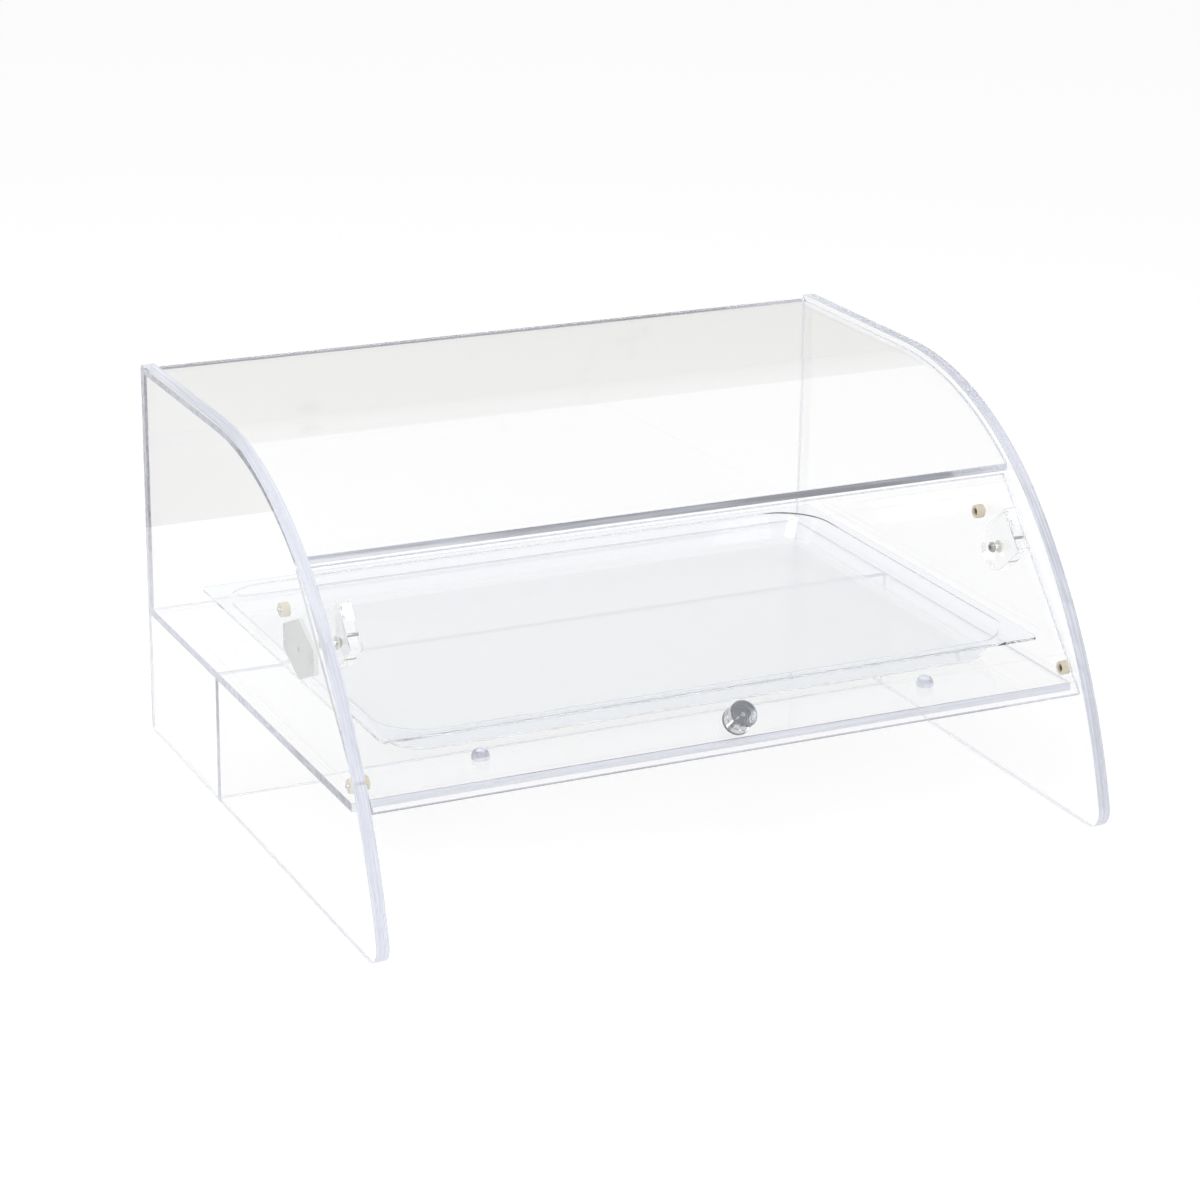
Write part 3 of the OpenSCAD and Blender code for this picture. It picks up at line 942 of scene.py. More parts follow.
    def side_point(self, up: float, out: float, opened: float = 0.0) -> Vector:
        """A point of the door's frame on the side plane, with the door opened by an angle.

        Args:
            up: Distance up the door from its top edge.
            out: Distance outward from the door's outer face.
            opened: Degrees that the door is open.

        Returns:
            The point as (Y, Z).
        """
        pivot = self.pivot_in_door
        axle = self._turn(pivot.x, pivot.y, self.door_lean) + self.door_top
        return axle + self._turn(up - pivot.x, out - pivot.y,
                                 self.door_lean - math.radians(opened))

    @staticmethod
    def _turn(x: float, y: float, angle: float) -> Vector:
        """Turns a plane vector by an angle in radians."""
        return Vector((x * math.cos(angle) - y * math.sin(angle),
                       x * math.sin(angle) + y * math.cos(angle)))

    @property
    def pivot(self) -> Vector:
        """The door's pivot, as (Y, Z)."""
        return self.side_point(self.pivot_in_door.x, self.pivot_in_door.y)

    @property
    def plate_half(self) -> float:
        """Half the length of the left pivot plate."""
        return ((self.pivot_reach - self.plate_door_gap
                 - self.plate_end_height / 2 * math.cos(self.door_lean))
                / math.sin(self.door_lean))

    @property
    def plate_screws(self) -> tuple[Vector, Vector]:
        """The plate's front and rear screws, as (Y, Z)."""
        run = Vector((self.plate_half - self.plate_screw_inset, 0.0))
        return self.pivot - run, self.pivot + run

    def block_outer(self, side: Side) -> float:
        """Distance of a hinge block's outer face from the middle.

        Args:
            side: The end.

        Returns:
            The distance.
        """
        outer = self.inner - self.washer - self.end_play
        return outer - self.left_block_inset if side is Side.LEFT else outer

    def bumper(self, level: Level) -> Vector:
        """Centre of a bumper.

        Args:
            level: The bumper's height.

        Returns:
            The point as (Y, Z).
        """
        stand = -(self.door + self.bumper_gap + self.bumper_diameter / 2)
        if level is Level.LOWER:
            return self.side_point(self.lower_bumper_rise - self.door_length, stand)
        return self.side_point(-self.upper_bumper_drop, stand, self.door_open)


SIZES = BinSizes()


# ---------------------------------------------------------------- sub-assemblies


@dataclass
class ClearCase:
    """The bonded case: two end panels, back, shelf, riser and the bent top shield."""

    end_acrylic: Material
    cross_acrylic: Material
    sizes: BinSizes = SIZES
    edge_round: float = 1.0
    rim_polish: float = 0.2
    sheet_round: float = 0.5
    screw_hole_radius: float = 2.03
    bumper_hole_depth: float = 7.0
    rear_top_steps: int = 10
    rear_foot_steps: int = 8
    brow_steps: int = 72
    front_steps: int = 96
    foot_steps: int = 24
    side_cosine: float = 0.5
    end_reach: float = 0.01
    bend_margin: float = 1.1

    def build(self) -> None:
        """Builds every sheet of the case."""
        for side in Side:
            self._end_panel(side)
        self._back_panel()
        self._shelf()
        self._riser()
        self._shield()

    @staticmethod
    def _fit(bm: Mesh, node: str, place: Matrix, material: Material) -> None:
        """Sets a sheet, drawn from the side, in its place in the case.

        Args:
            bm: The sheet.
            node: The node that it stands for.
            place: Where its sketch's plane lies.
            material: Its finish.
        """
        deliver(bm, f"{node}_sheet", place @ ACROSS, material, Body.CASE, node)

    def _end_panel(self, side: Side) -> None:
        """Cuts one end panel: flat top, brow bend, long front curve, foot and screw holes.

        Args:
            side: The end.
        """
        s = self.sizes
        to_foot = s.foot_centre - s.front_centre
        foot_angle = math.degrees(math.atan2(to_foot.y, to_foot.x)) % 360.0
        rear_top = (s.rear - s.rear_top_radius, s.height - s.rear_top_radius)
        rear_foot = (s.rear - s.rear_foot_radius, s.rear_foot_radius)
        sketch = SheetSketch((s.rear, rear_top[1]))
        sketch.arc(rear_top, 90.0, self.rear_top_steps).line(s.brow_centre.x, s.height)
        sketch.arc(s.brow_centre, s.brow_sweep, self.brow_steps)
        sketch.arc(s.front_centre, foot_angle - 90.0 - s.brow_sweep, self.front_steps)
        sketch.arc(s.foot_centre, 270.0 - foot_angle, self.foot_steps).line(rear_foot[0], 0.0)
        sketch.arc(rear_foot, 90.0, self.rear_foot_steps).line(s.rear, rear_top[1])
        if side is Side.RIGHT:
            sketch.hole(s.pivot, s.pivot_diameter / 2 + s.thread_gap, s.pivot_hole_depth)
        else:
            for at in s.plate_screws:
                sketch.hole(at, s.plate_screw_diameter / 2 + s.thread_gap, s.plate_hole_depth)
        for level in Level:
            sketch.hole(s.bumper(level), self.screw_hole_radius, self.bumper_hole_depth)
        bm = sketch.sheet(s.panel, self.edge_round)
        smooth_strips(bm)
        mark_sawn(bm, ALONG_W, self.rim_polish)
        self._fit(bm, f"{side.name.lower()}_end_panel",
                  on_side(side) @ Matrix.Translation((s.inner, 0.0, 0.0)), self.end_acrylic)

    def _cross(self, sketch: SheetSketch) -> Mesh:
        """Makes a sheet as wide as the inside of the case."""
        return sketch.sheet(2 * (self.sizes.inner + self.sizes.bond), 0.0)

    def _fit_cross(self, bm: Mesh, node: str) -> None:
        """Sets a sheet between the end panels."""
        start = -self.sizes.inner - self.sizes.bond
        self._fit(bm, node, Matrix.Translation((start, 0.0, 0.0)), self.cross_acrylic)

    def _plate(self, node: str, low: Pair, high: Pair, polished: Triple) -> None:
        """Cuts a plain rectangular sheet across the case.

        Args:
            node: The node it stands for.
            low: Its low front corner, as (Y, Z).
            high: Its high rear corner, as (Y, Z).
            polished: Direction that its polished faces look along, in the sketch's axes.
        """
        bm = self._cross(SheetSketch.rectangle(low, high))
        soften(bm, along_w(bm), self.sheet_round)
        mark_sawn(bm, polished)
        self._fit_cross(bm, node)

    def _back_panel(self) -> None:
        """Cuts the upright back panel."""
        s = self.sizes
        top = s.height - s.shield_inset - s.shield
        self._plate("back_panel", (s.rear - s.sheet, s.shelf_height - s.bond),
                    (s.rear, top + s.bond), ALONG_U)

    def _shelf(self) -> None:
        """Cuts the shelf."""
        s = self.sizes
        self._plate("shelf", (s.shelf_front, s.shelf_height - s.sheet), (s.rear, s.shelf_height),
                    ALONG_V)

    def _riser(self) -> None:
        """Cuts the upright panel under the shelf."""
        s = self.sizes
        back = s.rear - s.riser_setback
        self._plate("riser_panel", (back - s.sheet, 0.0),
                    (back, s.shelf_height - s.sheet + s.bond), ALONG_U)

    def _shield(self) -> None:
        """Bends the top shield: a flat rear part and the brow, cut upright at its end."""
        s = self.sizes
        top = s.height - s.shield_inset
        inner = s.brow_radius - s.shield_inset - s.shield
        inner_angle = math.degrees(math.asin((s.brow_centre.x - s.shield_end.x) / inner))
        sketch = SheetSketch((s.rear, top - s.shield)).line(s.rear, top).line(s.brow_centre.x, top)
        sketch.arc(s.brow_centre, s.shield_sweep, self.brow_steps).line(*s.shield_end)
        sketch.arc(s.brow_centre, -inner_angle, self.brow_steps).line(s.rear, top - s.shield)
        bm = self._cross(sketch)
        smooth_strips(bm)
        for face in bm.faces:
            flat_part = face.calc_center_median().x > s.brow_centre.x
            if flat_part or abs(face.normal.z) > self.side_cosine:
                face.smooth = False
        soften(bm, [edge for edge in along_w(bm)
                    if all(abs(vert.co.x - s.shield_end.x) < self.end_reach for vert in edge.verts)],
               self.sheet_round)
        mark_sawn(bm, ALONG_V, math.cos(math.radians(s.shield_sweep * self.bend_margin)))
        self._fit_cross(bm, "curved_shield")


@dataclass
class FlapDoor:
    """The tilting flap: door sheet, two hinge blocks and the clear knob on its turned plate."""

    acrylic: Material
    block_acrylic: Material
    knob_metal: Material
    steel: Material
    sizes: BinSizes = SIZES
    edge_round: float = 0.6
    block_steps: int = 48
    screw_diameter: float = 4.0
    knob_diameter: float = 25.4
    knob_length: float = 19.0
    knob_edge: float = 3.0
    knob_steps: int = 14
    plate_thick: float = 2.0
    plate_margin: float = 0.4
    plate_chamfer: float = 0.2
    ring_pitch: float = 2.2
    ring_depth: float = 0.4
    ring_flank: float = 0.15
    grip: float = 11.5

    def build(self) -> None:
        """Builds the door and everything that turns with it."""
        self._sheet()
        for side in Side:
            self._block(side)
        self._plate()
        self._knob()
        dress_node("knob_screw", self.steel)

    def _sheet(self) -> None:
        """Cuts the door sheet, drilled for the knob's screw."""
        s = self.sizes
        half = s.inner - s.door_side_gap
        sketch = SheetSketch.rectangle((-half, -s.door_length), (half, 0.0))
        sketch.hole((0.0, s.knob_rise - s.door_length), self.screw_diameter / 2 + s.plain_gap,
                    s.door + THROUGH)
        bm = sketch.sheet(s.door, self.edge_round)
        mark_sawn(bm, ALONG_W)
        deliver(bm, "door_sheet", s.door_frame @ Matrix.Translation((0.0, 0.0, -s.door)),
                self.acrylic, Body.DOOR, "door_panel")

    def _block(self, side: Side) -> None:
        """Cuts one hinge block: square to the door, with a round rear end and a bore.

        Args:
            side: The end.
        """
        s = self.sizes
        pivot, half, back = s.pivot_in_door, s.block_length / 2, s.bond - s.door
        sketch = SheetSketch((pivot.x + half, back))
        sketch.line(pivot.x - half, back).line(pivot.x - half, pivot.y)
        sketch.arc(pivot, 180.0, self.block_steps).line(pivot.x + half, back)
        sketch.hole(pivot, s.pivot_diameter / 2 + s.pivot_clearance, s.block + THROUGH)
        bm = sketch.sheet(s.block, self.edge_round)
        smooth_strips(bm)
        inner = s.block_outer(side) - s.block
        place = on_side(side) @ s.door_frame @ Matrix.Translation((inner, 0.0, 0.0)) @ ACROSS
        node = f"{side.name.lower()}_hinge_block"
        deliver(bm, f"{node}_solid", place, self.block_acrylic, Body.DOOR, node)

    def _at_knob(self, out: float = 0.0) -> Matrix:
        """From the knob's axes, outward along Z from a distance off the door, to the case's."""
        s = self.sizes
        return s.door_frame @ Matrix.Translation((0.0, s.knob_rise - s.door_length, out))

    def _plate(self) -> None:
        """Turns the plate, with shallow rings cut in its face."""
        radius, screw = self.knob_diameter / 2 + self.plate_margin, self.screw_diameter / 2
        bore, face, chamfer = screw + self.sizes.plain_gap, self.plate_thick, self.plate_chamfer
        floor, flank = face - self.ring_depth, self.ring_flank
        profile = [(bore, 0.0), (radius - chamfer, 0.0), (radius, chamfer),
                   (radius, face - chamfer), (radius - chamfer, face)]
        rings = math.floor((self.knob_diameter / 2 - screw - self.ring_pitch / 2) / self.ring_pitch)
        for ring in range(rings, 0, -1):
            edge = screw + ring * self.ring_pitch
            middle = edge - self.ring_pitch / 2
            profile += [(edge, face), (edge - flank, floor), (middle + flank, floor),
                        (middle, face)]
        profile += [(bore, face), (bore, 0.0)]
        deliver(turned_piece(profile), "knob_turned_plate", self._at_knob(), self.knob_metal,
                Body.DOOR, "knob_plate")

    def _knob(self) -> None:
        """Turns the clear knob, with a rounded outer edge and a blind screw hole."""
        s = self.sizes
        radius, top, edge = self.knob_diameter / 2, self.knob_length, self.knob_edge
        hole = self.screw_diameter / 2 + s.thread_gap
        profile = [(hole, 0.0), (radius, 0.0)]
        profile += rounded((radius - edge, top - edge), edge, 0.0, 90.0, self.knob_steps)
        profile += [(0.0, top), (0.0, self.grip), (hole, self.grip), (hole, 0.0)]
        deliver(turned_piece(profile), "knob_clear", self._at_knob(self.plate_thick - s.bond),
                self.block_acrylic, Body.DOOR, "knob")


@dataclass(frozen=True)
class PanScrew:
    """A pan-head screw with a crossed recess; the shares are of its head's or shank's size."""

    shank: float
    head_diameter: float
    head_height: float
    length: float
    tip_share: float = 0.16
    foot_chamfer: float = 0.1
    edge_share: float = 0.65
    flat_share: float = 0.32
    dome_degrees: float = 70.0
    dome_steps: int = 8
    steps: int = 64
    bar_share: float = 0.075
    arm_share: float = 0.28
    recess_share: float = 0.6
    recess_taper: float = 0.55
    recess_margin: float = 1.05

    def mesh(self) -> Mesh:
        """Makes the screw along Z: its head stands on zero and its shank runs down.

        Returns:
            The mesh.
        """
        head, top, shank = self.head_diameter / 2, self.head_height, self.shank / 2
        edge, tip, chamfer = top * self.edge_share, shank * self.tip_share, self.foot_chamfer
        profile = [(0.0, -self.length), (shank - tip, -self.length), (shank, -self.length + tip),
                   (shank, 0.0), (head - chamfer, 0.0), (head, chamfer)]
        profile += rounded((head - edge, top - edge), edge, 0.0, self.dome_degrees, self.dome_steps)
        profile += [(self.head_diameter * self.flat_share, top)]
        bm = turned_piece(profile, self.steps)
        self._recess(bm)
        return bm

    def _recess(self, bm: Mesh) -> None:
        """Fills the head's open top and sinks a crossed, tapering recess into it.

        Args:
            bm: The screw's mesh.
        """
        top = self.head_height
        rim = [edge for edge in bm.edges if len(edge.link_faces) == 1]
        half, arm = self.head_diameter * self.bar_share, self.head_diameter * self.arm_share
        core = rectangle(bm, half, half, Matrix.Translation((0.0, 0.0, top)))[0].link_faces[0]
        for side in list(core.edges):
            away = (side.verts[0].co + side.verts[1].co).xy.normalized()
            raised(bm, [side], (*(away * (arm - half)), 0.0))
        cross = [face for face in bm.faces if abs(face.calc_center_median().z - top) < JOIN]
        loop = [edge for face in cross for edge in face.edges
                if sum(other in cross for other in edge.link_faces) == 1]
        bmesh.ops.delete(bm, geom=cross, context="FACES_ONLY")
        loop = [edge for edge in loop if edge.is_valid]
        loose = [edge for edge in bm.edges if edge.is_wire and edge not in loop]
        bmesh.ops.delete(bm, geom=loose, context="EDGES")
        fill_between(bm, rim + loop)
        end = raised(bm, loop, (0.0, 0.0, -top * self.recess_share), self.recess_taper)
        bmesh.ops.contextual_create(bm, geom=end)
        facet_recess(bm, arm * self.recess_margin)


@dataclass
class PivotSet:
    """The pivot screws, their nylon washers and the left pivot's plate with its two screws."""

    steel: Material
    nylon: Material
    plate_plastic: Material
    sizes: BinSizes = SIZES
    head_diameter: float = 10.0
    head_height: float = 3.4
    plate_head_diameter: float = 5.6
    plate_head_height: float = 2.0
    plate_round: float = 0.4
    recess_turn: float = 12.0

    def build(self) -> None:
        """Builds both pivots."""
        s = self.sizes
        for side in Side:
            self._pivot_screw(side)
            dress_node(f"{side.name.lower()}_pivot_washer", self.nylon)
        self._plate()
        for name, at in zip(("front", "rear"), s.plate_screws):
            screw = PanScrew(s.plate_screw_diameter, self.plate_head_diameter,
                             self.plate_head_height, s.plate + s.plate_hole_depth - s.tip_gap)
            self._drive(screw, f"left_plate_{name}_screw", Side.LEFT, s.inner - s.plate, at)

    def _pivot_screw(self, side: Side) -> None:
        """Makes one pivot screw; its head looks inward from the hinge block.

        Args:
            side: The end.
        """
        s = self.sizes
        seat = s.block_outer(side) - s.block - s.end_play
        end = s.inner + s.pivot_hole_depth - s.tip_gap
        if side is Side.LEFT:
            seat -= s.washer
            end = s.inner - s.tip_gap
        screw = PanScrew(s.pivot_diameter, self.head_diameter, self.head_height, end - seat)
        self._drive(screw, f"{side.name.lower()}_pivot_screw", side, seat, s.pivot)

    def _drive(self, screw: PanScrew, node: str, side: Side, seat: float, at: Vector) -> None:
        """Places a screw with its head looking inward.

        Args:
            screw: The screw.
            node: The node it stands for.
            side: The end that it is driven into.
            seat: Distance from the middle at which its head seats.
            at: Its axis, as (Y, Z).
        """
        turn = self.sizes.door_lean + math.radians(self.recess_turn)
        place = on_side(side) @ Matrix.Translation((seat, *at)) @ INWARD
        deliver(screw.mesh(), f"{node}_pan_head", place @ Matrix.Rotation(turn, 4, "Z"), self.steel,
                Body.CASE, node)

    def _plate(self) -> None:
        """Cuts the six-sided plate with its three holes."""
        s = self.sizes
        half, end, peak = s.plate_half, s.plate_end_height / 2, s.plate_height / 2
        sketch = SheetSketch((half, -end))
        for corner in ((half, end), (0.0, peak), (-half, end), (-half, -end), (0.0, -peak),
                       (half, -end)):
            sketch.line(*corner)
        sketch.hole((0.0, 0.0), s.pivot_diameter / 2 + s.thread_gap, s.plate + THROUGH)
        for at in s.plate_screws:
            sketch.hole(at - s.pivot, s.plate_screw_diameter / 2 + s.plain_gap, s.plate + THROUGH)
        place = on_side(Side.LEFT) @ Matrix.Translation((s.inner - s.plate, *s.pivot)) @ ACROSS
        deliver(sketch.sheet(s.plate, self.plate_round), "left_pivot_plate_cut", place,
                self.plate_plastic, Body.CASE, "left_pivot_plate")


@dataclass
class BumperSet:
    """The four round nylon bumpers on the end panels and their dark socket-head screws, whose dark is black
    oxide and painted shade of the recesses.
    """

    nylon: Material
    oxide_and_shade_steel: Material
    sizes: BinSizes = SIZES
    lift: float = 0.02
    foot_chamfer: float = 0.3
    rim_round: float = 0.8
    mouth_round: float = 0.3
    recess_diameter: float = 7.6
    recess_depth: float = 4.6
    screw_diameter: float = 4.0
    screw_tip: float = 0.4
    head_diameter: float = 6.8
    head_height: float = 2.8
    head_round: float = 0.5
    screw_depth: float = 7.0
    socket_across: float = 3.4
    socket_depth: float = 1.5
    socket_reach: float = 0.6
    round_steps: tuple[int, int, int] = (6, 4, 5)
    steps: int = 64
    screw_steps: int = 48

    def build(self) -> None:
        """Builds the four bumpers and screws."""
        for side in Side:
            for level in Level:
                self._bumper(side, level)
                self._screw(side, level)

    def _place(self, side: Side, level: Level, x: float) -> Matrix:
        """Axes of a bumper that look inward, from a distance off the middle."""
        return on_side(side) @ Matrix.Translation((x, *self.sizes.bumper(level))) @ INWARD

    def _bumper(self, side: Side, level: Level) -> None:
        """Turns one bumper with rounded rims and a recess.

        Args:
            side: The end.
            level: The height.
        """
        s = self.sizes
        radius, recess, rim, mouth = (s.bumper_diameter / 2, self.recess_diameter / 2,
                                      self.rim_round, self.mouth_round)
        bore, face = self.screw_diameter / 2 + s.plain_gap, s.bumper_length
        seat = face - self.recess_depth
        profile = [(bore, self.lift), (radius - self.foot_chamfer, self.lift),
                   (radius, self.lift + self.foot_chamfer)]
        profile += rounded((radius - rim, face - rim), rim, 0.0, 90.0, self.round_steps[0])
        profile += rounded((recess + mouth, face - mouth), mouth, 90.0, 180.0, self.round_steps[1])
        profile += [(recess, seat), (bore, seat), (bore, self.lift)]
        node = f"{level.value}_{side.name.lower()}_bumper"
        deliver(turned_piece(profile, self.steps), f"{node}_turned",
                self._place(side, level, s.inner), self.nylon, Body.CASE, node)

    def _screw(self, side: Side, level: Level) -> None:
        """Makes one socket-head screw, seated on the recess floor.

        Args:
            side: The end.
            level: The height.
        """
        s = self.sizes
        seat = s.bumper_length - self.recess_depth
        head, shank, top = self.head_diameter / 2, self.screw_diameter / 2, self.head_height
        tip, edge = self.screw_tip, self.head_round
        foot = s.tip_gap - seat - self.screw_depth
        profile = [(0.0, foot), (shank - tip, foot), (shank, foot + tip), (shank, self.lift),
                   (head, self.lift)]
        profile += rounded((head - edge, top - edge), edge, 0.0, 90.0, self.round_steps[2])
        bm = turned_piece(profile, self.screw_steps)
        rim = [edge for edge in bm.edges if len(edge.link_faces) == 1]
        loop = circle(bm, self.socket_across / math.sqrt(3.0), (0.0, 0.0, top), HEXAGON)
        fill_between(bm, rim + loop)
        bmesh.ops.contextual_create(bm, geom=raised(bm, loop, (0.0, 0.0, -self.socket_depth)))
        facet_recess(bm, self.socket_across * self.socket_reach)
        node = f"{level.value}_{side.name.lower()}_bumper_screw"
        deliver(bm, f"{node}_socket_head", self._place(side, level, s.inner - seat),
                self.oxide_and_shade_steel, Body.CASE, node)


@dataclass
class TrayAndPegs:
    """The loose tray and the two domed pegs in front of it."""

    tray_plastic: Material
    peg_urethane: Material
    sizes: BinSizes = SIZES
    width: float = 656.0
    shift: float = 15.0
    rear_gap: float = 33.0
    front_setback: float = 47.0
    height: float = 27.0
    lift: float = 0.05
    wall: float = 2.5
    rim_width: float = 13.0
    rim_radius: float = 6.0
    well_radius: float = 48.0
    lean: float = 18.0
    rim_bend: float = 3.0
    rim_steps: int = 5
    floor_bend: float = 7.0
    floor_steps: int = 6
    corner_steps: int = 20
    broad_area: float = 20000.0
    level_cosine: float = 0.9999
    peg_offset: float = 222.0
    peg_setback: float = 47.0
    peg_diameter: float = 16.0
    peg_height: float = 10.0
    dome_steps: int = 24
    peg_steps: int = 64

    def build(self) -> None:
        """Builds the tray and its pegs."""
        self._tray()
        for side in Side:
            self._peg(side)

    def _ring(self, bm: Mesh, width: float, depth: float, radius: float, z: float) -> Edges:
        """Draws one rounded rectangle of the tray's form.

        Args:
            bm: The mesh to draw in.
            width: Outer width.
            depth: Outer depth.
            radius: Corner radius.
            z: Height above the shelf.

        Returns:
            The ring's edges.
        """
        before = set(bm.faces)
        corners = rectangle(bm, width / 2, depth / 2, Matrix.Translation((0.0, 0.0, z)))
        bmesh.ops.bevel(bm, geom=corners, offset=radius, offset_type="OFFSET",
                        segments=self.corner_steps, profile=0.5, affect="VERTICES", material=-1)
        face = next(face for face in bm.faces if face not in before)
        edges = list(face.edges)
        bmesh.ops.delete(bm, geom=[face], context="FACES_ONLY")
        return edges

    @staticmethod
    def _bend(bm: Mesh, edges: Edges, reach: float, steps: int) -> None:
        """Bends the plastic along edges, this far on each side."""
        bmesh.ops.bevel(bm, geom=edges, offset=reach, offset_type="OFFSET", segments=steps,
                        profile=0.5, affect="EDGES", material=-1, clamp_overlap=True)

    def _tray(self) -> None:
        """Forms the tray: flat rim, leaning walls and a floor, with bent transitions."""
        s = self.sizes
        rear = s.rear - s.sheet - self.rear_gap
        front = s.shelf_front + self.front_setback
        depth = rear - front
        well = (self.width - 2 * self.rim_width, depth - 2 * self.rim_width)
        bm = bmesh.new()
        rim = self._ring(bm, self.width, depth, self.rim_radius, self.height)
        lip = self._ring(bm, *well, self.well_radius, self.height)
        foot = self._ring(bm, well[0] - 2 * self.lean, well[1] - 2 * self.lean,
                          self.well_radius - self.lean, 0.0)
        for loops in (rim + lip, lip + foot):
            bmesh.ops.bridge_loops(bm, edges=loops)
        bmesh.ops.contextual_create(bm, geom=foot)
        bmesh.ops.recalc_face_normals(bm, faces=bm.faces[:])
        if max(bm.faces, key=lambda face: face.calc_area()).normal.z < 0:
            bmesh.ops.reverse_faces(bm, faces=bm.faces[:])
        self._bend(bm, lip, self.rim_bend, self.rim_steps)
        foot = [edge for edge in bm.edges if all(abs(vert.co.z) < JOIN for vert in edge.verts)]
        self._bend(bm, foot, self.floor_bend, self.floor_steps)
        bmesh.ops.solidify(bm, geom=bm.faces[:], thickness=self.wall)
        bmesh.ops.recalc_face_normals(bm, faces=bm.faces[:])
        low = min(vert.co.z for vert in bm.verts)
        bmesh.ops.translate(bm, verts=bm.verts[:], vec=(0.0, 0.0, self.lift - low))
        for face in bm.faces:
            face.smooth = (face.calc_area() < self.broad_area
                           and abs(face.normal.z) < self.level_cosine)
        place = Matrix.Translation((self.shift, (rear + front) / 2, s.shelf_height))
        deliver(bm, "tray_formed", place, self.tray_plastic, Body.TRAY, "tray")

    def _peg(self, side: Side) -> None:
        """Turns one domed peg.

        Args:
            side: The end that it stands nearer to.
        """
        s = self.sizes
        radius = self.peg_diameter / 2
        profile = [(0.0, -s.bond), (radius, -s.bond)]
        profile += rounded((0.0, self.peg_height - radius), radius, 0.0, 90.0, self.dome_steps)
        bm = turned_piece(profile, self.peg_steps)
        mark_sawn(bm, ALONG_W)
        place = on_side(side) @ Matrix.Translation(
            (self.peg_offset, s.shelf_front + self.peg_setback, s.shelf_height))
        node = f"{side.name.lower()}_tray_peg"
        deliver(bm, f"{node}_dome", place, self.peg_urethane, Body.CASE, node)


# ---------------------------------------------------------------- studio


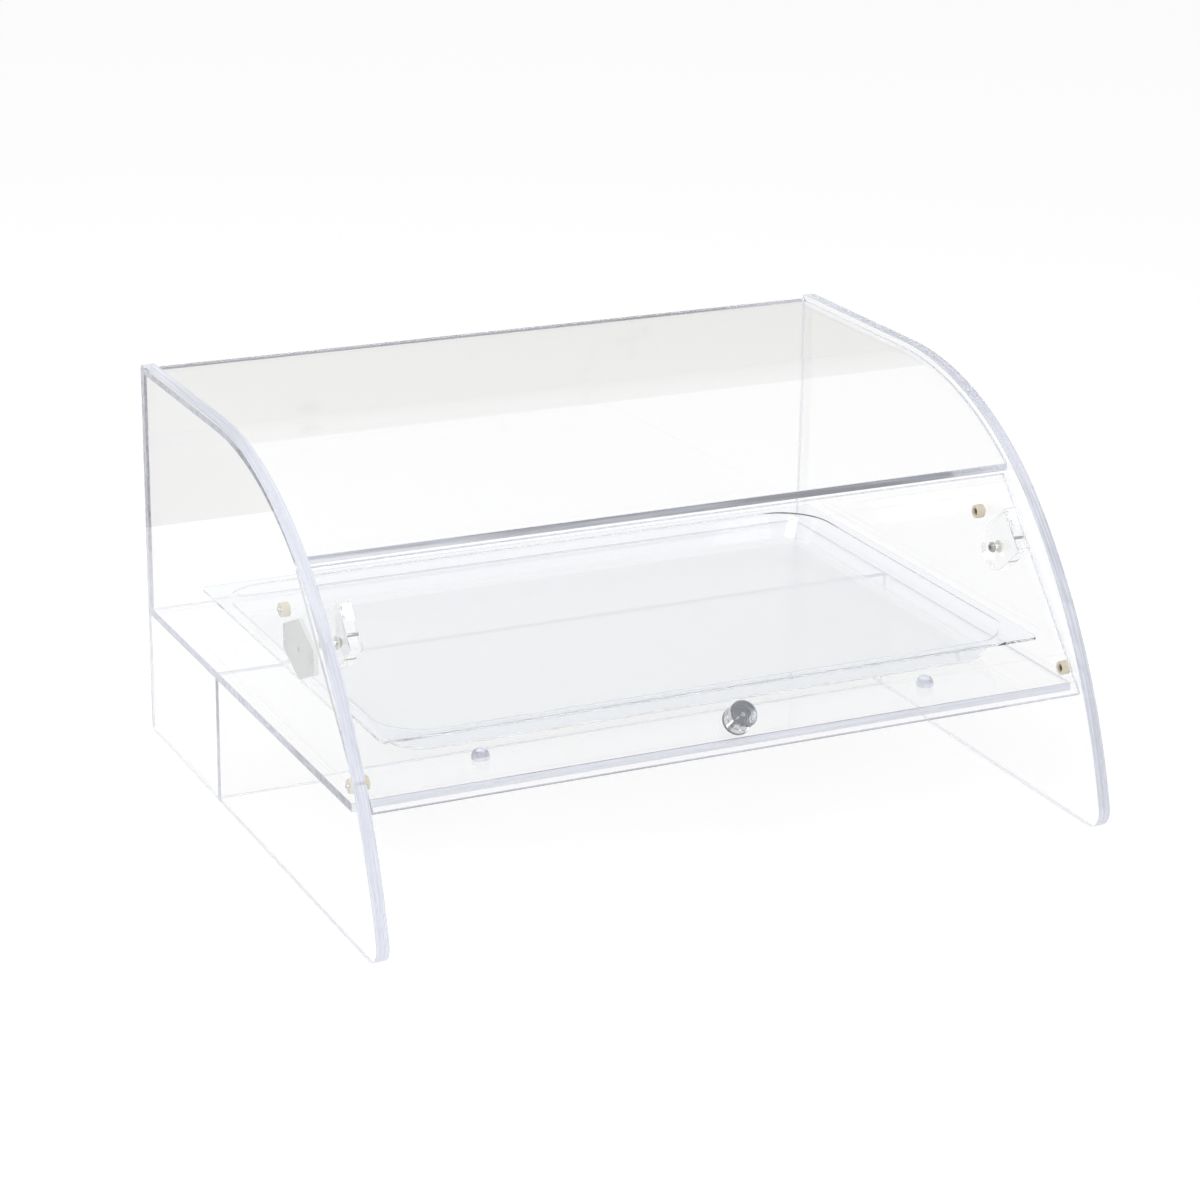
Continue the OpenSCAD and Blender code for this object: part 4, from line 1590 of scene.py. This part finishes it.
@dataclass
class Studio:
    """A white table, soft light, glowing grey cards that only reflections show and that paint grey
    reflections in the clear sheets, and the camera.
    """

    azimuth: float = -25.876
    elevation: float = 19.448
    roll: float = 0.917
    focal_px: float = 3260.965
    distance: float = 3050.538
    slide_right: float = -16.446
    slide_up: float = 27.791
    aim_height: float = 150.0
    sensor_mm: float = 36.0
    floor_half: float = 20.0
    floor_drop: float = 0.0003
    floor_colour: str = "#FCFCFC"
    floor_lift: float = 0.14
    white: float = 1.0
    sky_light: float = 0.84
    key_watts: float = 17.0
    key_size: Pair = (1.6, 1.2)
    key_at: Triple = (-1.3, -1.2, 2.3)
    # Grey that the cards glow with, seen only in reflections: a painted reflection.
    reflected_grey: str = "#B5B3AD"
    card_behind: float = 0.9
    card_spans: tuple[Pair, Pair] = ((0.0, 0.3), (0.53, 1.0))
    card_half: float = 3.0
    bounces: int = 72
    glossy_bounces: int = 20
    transparent_bounces: int = 64

    def build(self) -> None:
        """Sets the whole stage."""
        self._world()
        self._floor()
        for low, high in self.card_spans:
            self._grey_card(low, high)
        self._key_light()
        self._camera()
        scene = bpy.context.scene
        scene.view_settings.view_transform = "Standard"
        scene.cycles.max_bounces = self.bounces
        scene.cycles.transmission_bounces = self.bounces
        scene.cycles.glossy_bounces = self.glossy_bounces
        scene.cycles.transparent_max_bounces = self.transparent_bounces
        log.info("studio: floor, cards, key light, world and camera set")

    def _world(self) -> None:
        """A plain surround: white to the eye, in mirrors and through glass, and softer as light."""
        world = bpy.data.worlds.new("white_surround")
        bpy.context.scene.world = world
        world.use_nodes = True
        tree = world.node_tree
        tree.nodes.clear()
        strength = spread(tree, self._seen(tree), self.sky_light, self.white)
        background = add_node(tree, "Background", None, {"Color": (1.0, 1.0, 1.0, 1.0)},
                              {"Strength": strength})
        add_node(tree, "OutputWorld", None, None, {"Surface": background.outputs["Background"]})

    @staticmethod
    def _seen(tree: Tree) -> Socket:
        """One for rays that the eye follows, also in mirrors and through glass, and else zero.

        Args:
            tree: The node tree.

        Returns:
            The value.
        """
        path = add_node(tree, "LightPath").outputs
        mirrored = joined(tree, "MAXIMUM", path["Is Glossy Ray"], path["Is Transmission Ray"])
        return joined(tree, "MAXIMUM", path["Is Camera Ray"], mirrored)

    def _floor(self) -> None:
        """A large pale table top just under the feet, lifted to white for the eye."""
        material, tree, output = new_material("white_table")
        paper = add_node(tree, "BsdfDiffuse", None, {"Color": linear(self.floor_colour)})
        lift = spread(tree, self._seen(tree), 0.0, self.floor_lift)
        glow = add_node(tree, "Emission", None, None, {"Strength": lift})
        both = add_node(tree, "AddShader", None, None,
                        {0: paper.outputs["BSDF"], 1: glow.outputs["Emission"]})
        tree.links.new(both.outputs["Shader"], output.inputs["Surface"])
        bm = bmesh.new()
        rectangle(bm, self.floor_half, self.floor_half,
                  Matrix.Translation((0.0, 0.0, -self.floor_drop)))
        solid("table_top", bm, material)

    def _grey_card(self, low: float, high: float) -> None:
        """Sets up an upright grey card behind the object, which glows and which only reflections meet: a
        painted grey reflection in the clear sheets.

        Args:
            low: Height of its lower edge in metres.
            high: Height of its upper edge in metres.
        """
        material, tree, output = new_material("grey_card")
        # The card glows grey and shows only in reflections: a painted reflection on the clear sheets.
        glow = add_node(tree, "Emission", None, {"Color": linear(self.reflected_grey)})
        tree.links.new(glow.outputs["Emission"], output.inputs["Surface"])
        bm = bmesh.new()
        place = Matrix.Translation((0.0, self.card_behind, (low + high) / 2))
        rectangle(bm, self.card_half, (high - low) / 2,
                  place @ Matrix.Rotation(math.pi / 2, 4, "X"))
        card = solid("grey_card", bm, material)
        card.visible_camera = False
        card.visible_diffuse = False
        card.visible_transmission = False
        card.visible_shadow = False

    def _key_light(self) -> None:
        """A broad soft lamp above and in front, a little to the left."""
        lamp = bpy.data.lights.new("key_softbox", "AREA")
        lamp.shape = "RECTANGLE"
        lamp.size, lamp.size_y = self.key_size
        lamp.energy = self.key_watts
        holder = bpy.data.objects.new("key_softbox", lamp)
        bpy.context.scene.collection.objects.link(holder)
        holder.location = self.key_at
        aim = Vector((0.0, 0.0, self.aim_height * MM)) - holder.location
        holder.rotation_mode = "QUATERNION"
        holder.rotation_quaternion = aim.to_track_quat("-Z", "Y")

    def _camera(self) -> None:
        """Puts the camera at the photograph's viewing angle."""
        turn, rise, lean = (math.radians(v) for v in (self.azimuth, self.elevation, self.roll))
        back = Vector((math.sin(turn) * math.cos(rise), -math.cos(turn) * math.cos(rise),
                       math.sin(rise)))
        level = Vector((math.cos(turn), math.sin(turn), 0.0))
        up = back.cross(level)
        right = math.cos(lean) * level + math.sin(lean) * up
        up = math.cos(lean) * up - math.sin(lean) * level
        aim = Vector((0.0, 0.0, self.aim_height))
        eye = aim + self.slide_right * right + self.slide_up * up + self.distance * back
        data = bpy.data.cameras.new("camera")
        data.sensor_width = self.sensor_mm
        data.lens = self.focal_px / IMAGE_SIDE * self.sensor_mm
        camera = bpy.data.objects.new("camera", data)
        bpy.context.scene.collection.objects.link(camera)
        axes = Matrix((right, up, back)).transposed().to_4x4()
        camera.matrix_world = Matrix.Translation(eye * MM) @ axes
        bpy.context.scene.camera = camera


def main() -> None:
    """Makes the finishes, builds each sub-assembly in order and sets the studio."""
    s = SIZES
    # End panels: glass-clear, with pale lavender edges streaked along their curve.
    end_acrylic = ClearAcrylic("cast_acrylic_end_sheet").make()
    # Sheets across the case: the same, with the edges' streaks drawn out along X.
    cross_acrylic = ClearAcrylic("cast_acrylic_cross_sheet", saw_stretch=(0.02, 0.5, 0.5)).make()
    # Hinge blocks and knob: fully polished, so that they sparkle.
    block_acrylic = ClearAcrylic("polished_acrylic_block", depth_per_metre=1.2, haze_mm=5.0).make()
    # Pegs: cloudy lavender domes, softer than the sheets.
    peg_urethane = ClearAcrylic("cloudy_urethane_dome", saw_roughness=0.08,
                                saw_veil="#E6EAF8").make()
    # Tray: a milky, grained floor that catches the light between clear walls.
    tray_plastic = PebbledTrayPlastic("pebbled_copolyester", s.shelf_height).make()
    # Screws: small bright points at the hinges, and dark ones deep in the bumpers, whose dark brown is
    # partly black oxide and partly painted shade of the recesses.
    steel = Steel("bright_steel", ("#BDBBB6", "#9C9A95"), (0.12, 0.24)).make()
    # Dark brown paints the shade deep in the bumper recesses onto the screw heads, on top of their black
    # oxide.
    oxide_and_shade_steel = Steel("black_oxide_steel", ("#33241C", "#17100C"), (0.35, 0.55),
                        metallic=0.2).make()
    # Knob plate: a grey disc whose rings fan the light, seen through the clear knob.
    knob_at = s.side_point(s.knob_rise - s.door_length, 0.0)
    knob_metal = TurnedAluminium("turned_aluminium", (0.0, *knob_at), s.door_lean).make()
    # Bumpers beige, the pivot plate pale grey and the washers off-white, all waxy.
    bumper_nylon = Nylon("natural_nylon", ("#E6DDC8", "#D3C8AC")).make()
    plate_acetal = Nylon("grey_acetal", ("#E4E6E6", "#D9DBDB")).make()
    washer_nylon = Nylon("white_nylon", ("#F3F2EC", "#E4E2D8")).make()

    ClearCase(end_acrylic, cross_acrylic).build()
    FlapDoor(cross_acrylic, block_acrylic, knob_metal, steel).build()
    PivotSet(steel, washer_nylon, plate_acetal).build()
    BumperSet(bumper_nylon, oxide_and_shade_steel).build()
    TrayAndPegs(tray_plastic, peg_urethane).build()
    Studio().build()

    bpy.context.view_layer.update()


if __name__ == "__main__":
    main()
